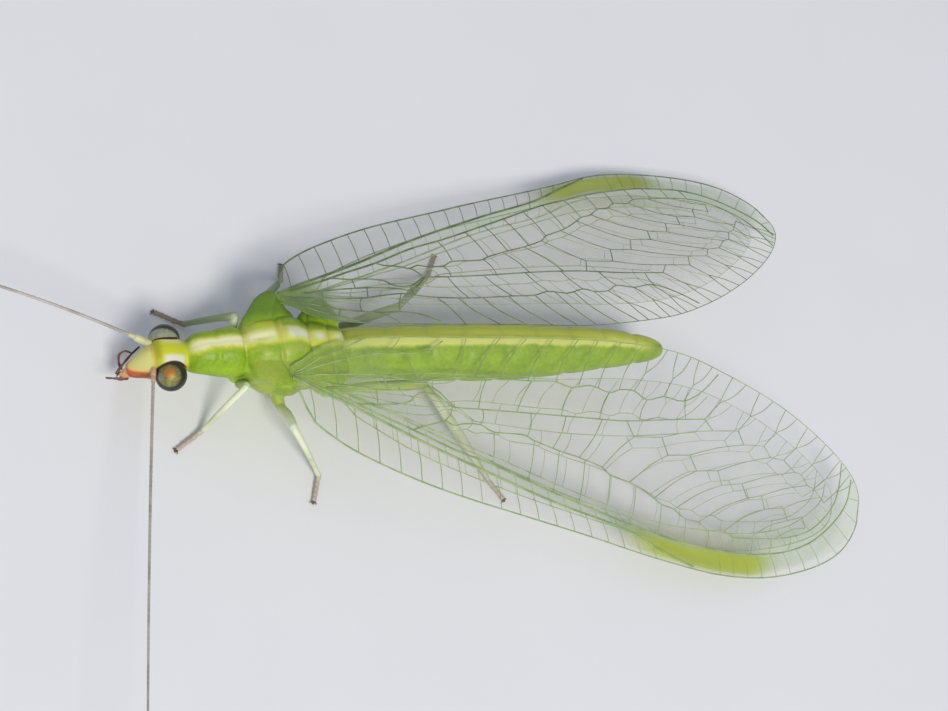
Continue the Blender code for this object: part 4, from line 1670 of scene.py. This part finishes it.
    def through(self, *points: Spot, steps: int = 3, girth: float = 0.0) -> Vein:
        """A short dark vein, curved through points."""
        return Vein(tuple(curve_through(points, steps)), girth or self.fine, VeinTone.DARK)

    def rung(
        self, start: Spot, end: Spot, shift: Spot = (0.0, 0.0), steps: int = 3, girth: float = 0.0,
    ) -> Vein:
        """Draws a short bowed vein.

        Args:
            start: Its start.
            end: Its end.
            shift: How far its middle is moved, along and across the wing.
            steps: Samples to each half of it.
            girth: Half its thickness, or 0 for the fine one.

        Returns:
            The vein.
        """
        along, across = between(start, end, 0.5)
        return self.through(start, (along + shift[0], across + shift[1]), end, steps=steps, girth=girth)

    def long_veins(self) -> list[Vein]:
        """Draws the veins that run along the wing, paler towards the root.

        Returns:
            Each long vein, parted where its tone changes.
        """
        rows = [(self.subcosta, self.coarse * 0.9), (self.radius, self.coarse * 0.7)]
        rows += [(course, self.middle) for course in (
            self.sector, self.media, self.media_low, self.cubitus, self.first_anal, self.second_anal,
        )]
        ends = (
            (self.pale_reach, VeinTone.PALE), (self.green_reach, VeinTone.GREEN), (math.inf, VeinTone.SAGE),
        )
        made = []
        for course, girth in rows:
            points = curve_through(course, 3)
            start = 0
            for reach, tone in ends:
                stop = sum(1 for point in points if point[0] <= reach)
                if stop - start > 1:
                    made.append(Vein(tuple(points[start:stop]), girth, tone))
                    start = stop - 1
        return made

    def rim_veins(self) -> list[Vein]:
        """Draws the edges.

        Returns:
            The thick front edge and the thin rear one.
        """
        shares = [1.0 - (1.0 - index / 120) ** 2 for index in range(121)]
        front, rear = (
            tuple((share * self.wing.length, self.wing.edge(column, share)) for share in shares)
            for column in (1, 2)
        )
        return [Vein(front, self.rim, VeinTone.PALE), Vein(rear, self.fine, VeinTone.DARK)]

    def ladders(self) -> list[Vein]:
        """Draws the cross veins between the long veins.

        Returns:
            The cross veins.
        """
        made = []
        along = self.first_cell
        while along < self.last_cell:
            top = (along + 0.03, self.wing.front(along))
            foot = self.read(self.subcosta, along - 0.20)
            made.append(self.rung(top, foot, (0.03, 0.0), girth=self.fine * 0.9))
            along += 0.50 - 0.016 * along
        for spot in self.sector_steps:
            top = self.read(self.radius, spot + (-0.02 if spot > 4.5 else 0.06))
            made.append(self.rung(self.read(self.sector, spot), top, (0.02, 0.0)))
        for upper, lower, steps, sag in (
            (self.sector, self.media, self.media_steps, 0.05),
            (self.media, self.cubitus, self.cubitus_steps, -0.03),
            (self.media, self.media_low, ((1.90, 1.80),), 0.0),
            (self.media_low, self.cubitus, ((1.05, 0.95), (2.05, 1.90)), 0.0),
            (self.cubitus, self.first_anal, ((0.95, 0.90), (1.75, 1.55), (2.68, 2.33)), -0.04),
            (self.first_anal, self.second_anal, ((1.15, 1.00),), 0.0),
            (self.radius, self.subcosta, ((1.20, 1.26), (7.30, 7.36)), 0.0),
        ):
            for start, end in steps:
                made.append(self.rung(self.read(upper, start), self.read(lower, end), (sag, 0.0)))
        made.append(self.rung(self.read(self.first_anal, 1.89), (2.15, self.wing.rear(2.15)), (0.04, 0.0)))
        return made

    def fringe_veins(self) -> list[Vein]:
        """Draws the veins from the lowest long vein to the rear edge, some of them forked.

        Returns:
            The veins.
        """
        made = []
        for start, end in self.fringe:
            top = self.read(self.cubitus, start)
            foot = (end, self.wing.rear(end))
            bow = (start + 0.12, between(top, foot, 0.45)[1])
            made.append(self.through(top, bow, foot, steps=4))
        for start, end in self.forked_fringe:
            made.extend(self.fork(self.read(self.cubitus, start), (end - 0.17, end + 0.17)))
        return made

    def fork(self, start: Spot, ends: Spot) -> list[Vein]:
        """Draws a vein that parts in two on its way to the rear edge.

        Args:
            start: Where it leaves the net.
            ends: Distances along the wing where its two tines meet the edge.

        Returns:
            The stem and both tines.
        """
        feet = [(end, self.wing.rear(end)) for end in ends]
        split = between(start, between(*feet, 0.5), 0.42)
        made = [Vein((start, split), self.fine, VeinTone.DARK)]
        for foot, sign in zip(feet, (-1, 1)):
            bow = (between(split, foot, 0.5)[0] + sign * 0.03, between(split, foot, 0.42)[1])
            made.append(self.through(split, bow, foot))
        return made

    def fan(self) -> list[Vein]:
        """Draws the outer field: branches stepped down by an inner and an outer row.

        Returns:
            The veins of the field.
        """
        flat = (0.0, 0.0)
        made = []
        for starts, ends, shift, steps, girth in (
            (self.branches, self.inner_front, (0.02, -0.08), 4, self.fine),
            (self.inner_rear, self.inner_front, flat, 3, self.middle * 0.9),
            (self.inner_front, self.inner_rear[1:], flat, 3, self.fine),
            (self.inner_rear[1:], self.outer_front, (0.0, -0.04), 4, self.fine),
            (self.outer_rear, self.outer_front, flat, 3, self.middle * 0.8),
            (self.outer_front, self.outer_rear[1:], flat, 3, self.fine),
        ):
            made.extend(self.rung(start, end, shift, steps, girth) for start, end in zip(starts, ends))
        for rear, ends in zip(self.outer_rear, self.outer_rim):
            made.extend(self.fork(rear, ends))
        thin = self.fine * 0.8
        for index in range(self.tip_steps):
            along = 9.75 + 0.31 * index
            end = along + 0.10 + 0.03 * index
            foot = (end, self.wing.front(end))
            made.append(self.rung(self.read(self.radius, along), foot, (0.03, 0.0), girth=thin))
        for start, turn in zip(self.tip_cells, (0.62, 0.40, 0.16, -0.12)):
            made.append(self.rung(start, self.wing.near_tip(turn), girth=thin))
        return made

    def veins(self) -> list[Vein]:
        """Every vein of the wing."""
        return self.long_veins() + self.rim_veins() + self.ladders() + self.fringe_veins() + self.fan()

    def spot_mask(self, along: float, across: float) -> float:
        """Marks the olive spot at the front edge near the tip.

        Args:
            along: Distance along the wing.
            across: Distance across it.

        Returns:
            1 within the spot and 0 outside it.
        """
        rear = read_table(self.radius, 1, along)
        front = self.wing.front(along)
        length = within(along, self.spot_rise, self.spot_fall)
        return length * within(across, (rear - 0.02, rear + 0.06), (front - 0.10, front - 0.02))

    def root_mask(self, along: float, across: float, start: float, end: float) -> float:
        """Milky film at the root behind the front veins, 1 before start and 0 beyond end."""
        front = read_table(self.subcosta, 1, along)
        return (1.0 - smooth(along, start, end)) * (1.0 - smooth(across, front - 0.04, front + 0.04))

    def stain_mask(self, along: float, across: float) -> float:
        """Marks the green stain between the two front veins, and near the tip.

        Args:
            along: Distance along the wing.
            across: Distance across it.

        Returns:
            Up to 1 within the stain and 0 outside it.
        """
        low = read_table(self.radius, 1, along)
        high = read_table(self.subcosta, 1, along)
        strip = within(across, (low - 0.06, low), (high, high + 0.06))
        strip *= (0.4 + 0.8 * smooth(along, *self.stain_rise)) * (1.0 - smooth(along, *self.stain_fall))
        sector = read_table(self.sector, 1, along)
        front = self.wing.front(along)
        tip = within(across, (sector - 0.5, sector + 0.1), (front - 0.22, front - 0.06))
        return min(strip + 0.9 * smooth(along, *self.tip_rise) * tip, 1.0)


@dataclass(frozen=True)
class Wing:
    """One wing: its clear film and the veins on it."""

    name: str
    side: Side
    outline: WingOutline
    root: Spot3
    level: float
    net: VeinNet = VeinNet()
    splay: float = 13.6
    pitch: float = 6.0
    slope: float = 16.3
    film: float = 0.008
    stained: float = 1.0
    finesse: float = 1.0
    milky: Spot = (0.5, 2.9)
    ridge_height: float = 0.035
    valley_depth: float = 0.025
    valley_gap: float = 0.25
    pleat_width: float = 0.10
    pleat_fall: Spot = (9.0, 11.0)
    wave_height: float = 0.020
    stretch: float = 0.996
    front_gather: float = 0.3
    rear_gather: float = 0.7
    rows: int = 150
    columns: int = 46

    @property
    def axes(self) -> tuple[Vector, Vector, Vector]:
        """Finds the wing's own directions.

        Returns:
            Along the wing, across it to the front edge, and up.
        """
        splay, pitch, slope = (math.radians(a) for a in (self.splay, self.pitch, self.slope))
        sign = self.side.value
        along = Vector((
            math.cos(splay) * math.cos(pitch), sign * math.sin(splay) * math.cos(pitch), -math.sin(pitch),
        ))
        flat = Vector((-math.sin(splay), sign * math.cos(splay), 0.0))
        upright = along.cross(flat) * sign
        across = flat * math.cos(slope) - upright * math.sin(slope)
        return along, across, along.cross(across) * sign

    def lift(self, along: float, across: float) -> float:
        """Pleats the film at the front veins and waves it softly behind.

        Args:
            along: Distance along the wing.
            across: Distance across it.

        Returns:
            Height over the wing's plane.
        """
        crest = read_table(self.net.subcosta, 1, along)
        ridge = self.ridge_height * hump(across, crest, self.pleat_width)
        valley = self.valley_depth * hump(across, crest - self.valley_gap, self.pleat_width)
        wave = self.wave_height * math.sin(1.7 * along + 0.6) * math.sin(2.1 * across + 0.4)
        return (ridge - valley) * (1.0 - smooth(along, *self.pleat_fall)) + wave

    def fitted(self, spot: Spot) -> Spot:
        """Fits a spot of the forewing's net to this wing's outline.

        Args:
            spot: Spot in the forewing's plane.

        Returns:
            The spot in this wing's plane.
        """
        source = self.net.wing
        if self.outline is source:
            return spot
        along, across = source.inside(spot)
        low, high = source.rear(along), source.front(along)
        share = along / source.length
        part = (across - low) / max(high - low, 1e-6)
        bottom, top = self.outline.edge(2, share), self.outline.edge(1, share)
        return share * self.outline.length, bottom + (top - bottom) * part

    def place(self, spot: Spot) -> Vector:
        """Places a spot of this wing's plane in space.

        Args:
            spot: Distances along and across the wing.

        Returns:
            The point.
        """
        along, across, up = self.axes
        height = self.level + self.lift(*spot)
        loose = self.front_gather if spot[1] > 0.0 else self.rear_gather
        gathered = loose + (1.0 - loose) * smooth(spot[0], 0.0, 0.6)
        return Vector(self.root) + along * spot[0] * self.stretch + across * spot[1] * gathered + up * height

    def build_film(self, finish: bpy.types.Material) -> bpy.types.Object:
        """Adds a grid, lays it into the outline, keeps its stains and thickens it.

        Args:
            finish: Material of the film.

        Returns:
            The film.
        """
        Bench.clear()
        bpy.ops.mesh.primitive_grid_add(x_subdivisions=self.rows, y_subdivisions=self.columns, size=1.0)
        sheet = bpy.context.object
        sheet.name = f"{self.side.word}_{self.name}_film"
        spot_mask = sheet.data.attributes.new("wing_spot", "FLOAT", "POINT")
        stain_mask = sheet.data.attributes.new("wing_stain", "FLOAT", "POINT")
        root_mask = sheet.data.attributes.new("wing_root", "FLOAT", "POINT")
        for index, vertex in enumerate(sheet.data.vertices):
            share = math.sin((vertex.co.x + 0.5) * math.pi / 2) * 0.9995
            part = vertex.co.y + 0.5
            along = share * self.net.wing.length
            low, high = self.net.wing.rear(along), self.net.wing.front(along)
            spot = (along, low + (high - low) * part)
            spot_mask.data[index].value = self.net.spot_mask(*spot) * self.stained
            stain_mask.data[index].value = self.net.stain_mask(*spot) * self.stained
            root_mask.data[index].value = self.net.root_mask(*spot, *self.milky)
            vertex.co = self.place(self.fitted(spot))
        Bench.outward(sheet)
        Bench.modify(sheet, "SOLIDIFY", thickness=self.film, offset=0.0)
        Bench.dress(sheet, finish)
        return Bench.set_down(sheet, "wing_membrane", [f"{self.name}_{self.side.word}"])

    def build_veins(self, finishes: Sequence[bpy.types.Material]) -> bpy.types.Object:
        """Sweeps the net over the film.

        Args:
            finishes: Materials of the vein tones in their order.

        Returns:
            The net as one piece.
        """
        courses = []
        for vein in self.net.veins():
            course = []
            for spot in vein.course:
                own = self.fitted(self.net.wing.inside(spot))
                taper = 1.15 - 0.45 * own[0] / self.outline.length
                course.append((tuple(self.place(own)), vein.girth * self.finesse * taper))
            courses.append((course, vein.tone.value))
        net = swept(f"{self.side.word}_{self.name}_veins", courses, roundness=1)
        return Bench.set_down(Bench.dress(net, *finishes), "wing_membrane")


@dataclass(frozen=True)
class Wings:
    """The four wings, the hind pair just under the fore pair."""

    root_left: Spot3 = (-3.60, -0.84, 1.98)
    root_right: Spot3 = (-3.52, 0.94, 1.98)
    hind_start: float = 0.92
    fore_level: float = 0.03
    hind_level: float = -0.10
    near_tones: tuple[VeinFinish, ...] = (
        VeinFinish("vein_green", (0.340, 0.450, 0.180), (0.230, 0.340, 0.110)),
        VeinFinish("vein_dark", (0.100, 0.125, 0.085), (0.050, 0.066, 0.042)),
        VeinFinish("vein_pale", (0.560, 0.640, 0.400), (0.440, 0.530, 0.300)),
        VeinFinish("vein_sage", (0.190, 0.240, 0.140), (0.100, 0.140, 0.070)),
    )
    # Darker copies of the near tones: painted shade on the far forewing's veins.
    far_shaded_tones: tuple[VeinFinish, ...] = (
        VeinFinish("far_vein_green", (0.185, 0.260, 0.100), (0.105, 0.165, 0.055)),
        VeinFinish("far_vein_dark", (0.085, 0.110, 0.070), (0.040, 0.055, 0.034)),
        VeinFinish("far_vein_pale", (0.260, 0.340, 0.170), (0.160, 0.230, 0.100)),
        VeinFinish("far_vein_sage", (0.140, 0.180, 0.100), (0.080, 0.110, 0.055)),
    )
    hind_tones: tuple[VeinFinish, ...] = (
        VeinFinish("hind_vein_green", (0.420, 0.520, 0.280), (0.300, 0.400, 0.180)),
        VeinFinish("hind_vein_dark", (0.220, 0.260, 0.180), (0.140, 0.175, 0.110)),
        VeinFinish("hind_vein_pale", (0.560, 0.620, 0.440), (0.460, 0.540, 0.340)),
        VeinFinish("hind_vein_sage", (0.300, 0.350, 0.240), (0.200, 0.250, 0.150)),
    )
    near_film: FilmFinish = FilmFinish(
        "near_film", (0.440, 0.590, 0.120), root_cover=0.22, clear_cover=0.045, green_cover=0.10,
    )
    # The far forewing's film, darker green and denser at the root: painted shade on the far wing.
    far_shaded_film: FilmFinish = FilmFinish(
        "far_shaded_film", (0.200, 0.310, 0.060), root_cover=0.70, clear_cover=0.085, green_cover=0.12,
        olive=(0.380, 0.450, 0.020),
    )
    hind_film: FilmFinish = FilmFinish(
        "hind_film", (0.300, 0.420, 0.080), root_cover=0.18, clear_cover=0.022, green_cover=0.10,
    )

    def build(self) -> None:
        """Builds each wing's film and veins."""
        hind_veins = [tone.make() for tone in self.hind_tones]
        hind_film = self.hind_film.make()
        for side, root, tones, film, milky in (
            (Side.LEFT, self.root_left, self.near_tones, self.near_film, (0.5, 2.9)),
            (Side.RIGHT, self.root_right, self.far_shaded_tones, self.far_shaded_film, (0.5, 1.7)),
        ):
            fore = Wing("forewing", side, FOREWING, root, self.fore_level, milky=milky)
            along, across, _ = fore.axes
            hind_root = Vector(root) + along * self.hind_start - across * 0.05
            hind = Wing(
                "hindwing", side, HINDWING, tuple(hind_root), self.hind_level,
                stained=0.25, finesse=0.7, rows=110, columns=36, milky=(0.2, 1.2),
            )
            fore.build_film(film.make())
            fore.build_veins([tone.make() for tone in tones])
            hind.build_film(hind_film)
            hind.build_veins(hind_veins)


@dataclass(frozen=True)
class Studio:
    """Floor, soft lights and the camera at the photo's angle."""

    camera_place: Spot3 = (-21.3436, -22.4388, 40.9460)
    right: Spot3 = (0.89935, -0.22842, 0.37282)
    upward: Spot3 = (0.01398, 0.86727, 0.49764)
    lens: float = 96.04
    sensor: float = 36.0
    floor_size: float = 3.0
    key_place: Spot3 = (-0.036, -0.183, 0.200)
    key_size: float = 0.070
    key_power: float = 0.53
    key_tone: Colour = (1.0, 0.965, 0.895)
    fill_place: Spot3 = (-0.16, 0.14, 0.22)
    fill_size: float = 0.16
    fill_power: float = 0.02
    fill_tone: Colour = (0.92, 0.96, 1.0)
    sky: Colour = (0.75, 0.805, 0.97)
    sky_strength: float = 0.47

    def floor(self) -> None:
        """Lays the floor at the height of the feet."""
        Bench.clear()
        bpy.ops.mesh.primitive_grid_add(x_subdivisions=12, y_subdivisions=12, size=self.floor_size)
        ground = bpy.context.object
        ground.name = "floor"
        ground.data.materials.append(FloorFinish().make())

    def camera(self) -> None:
        """Places the camera."""
        lens = bpy.data.cameras.new("camera")
        lens.lens = self.lens
        lens.sensor_width = self.sensor
        lens.clip_start = MM
        lens.clip_end = 10.0
        item = bpy.data.objects.new("camera", lens)
        bpy.context.collection.objects.link(item)
        right, upward = Vector(self.right).normalized(), Vector(self.upward).normalized()
        back = right.cross(upward)
        turn = Matrix((right, upward, back)).transposed().to_4x4()
        item.matrix_world = Matrix.Translation(Vector(self.camera_place) * MM + SHIFT) @ turn
        bpy.context.scene.camera = item

    def lights(self) -> None:
        """Sets a soft lamp on the insect's left, a faint one on its right and an even pale sky."""
        for name, place, size, power, tone in (
            ("key", self.key_place, self.key_size, self.key_power, self.key_tone),
            ("fill", self.fill_place, self.fill_size, self.fill_power, self.fill_tone),
        ):
            lamp = bpy.data.lights.new(name, "AREA")
            lamp.size = size
            lamp.energy = power
            lamp.color = tone
            item = bpy.data.objects.new(name, lamp)
            bpy.context.collection.objects.link(item)
            item.location = place
            item.rotation_euler = (-Vector(place)).to_track_quat("-Z", "Y").to_euler()
        world = bpy.data.worlds.new("sky")
        world.use_nodes = True
        backdrop = world.node_tree.nodes["Background"]
        backdrop.inputs["Color"].default_value = (*self.sky, 1.0)
        backdrop.inputs["Strength"].default_value = self.sky_strength
        bpy.context.scene.world = world
        bpy.context.scene.view_settings.view_transform = "Standard"

    def build(self) -> None:
        """Sets up floor, camera and lights."""
        self.floor()
        self.camera()
        self.lights()


def main() -> None:
    """Builds the studio and every piece in order."""
    logging.basicConfig(level=logging.INFO, format="%(message)s")
    Studio().build()
    Skin().build()
    Claws().build()
    Eye(Side.LEFT, (-0.46, -0.44, 0.77)).build()
    Eye(Side.RIGHT, (0.358, 0.874, -0.328)).build()
    Mouth().build()
    Feeler(
        Side.LEFT, (-5.98, -0.19, 1.36), heading=75.0, sweep=1.7,
        scape_tones=((0.640, 0.420, 0.240), (0.520, 0.330, 0.170)), scape=0.27, scape_girth=0.050,
    ).build()
    Feeler(
        Side.RIGHT, (-5.98, 0.26, 1.40), heading=21.0, sweep=-12.0,
        scape_tones=((0.600, 0.600, 0.330), (0.500, 0.490, 0.280)),
    ).build()
    Wings().build()


if __name__ == "__main__":
    main()
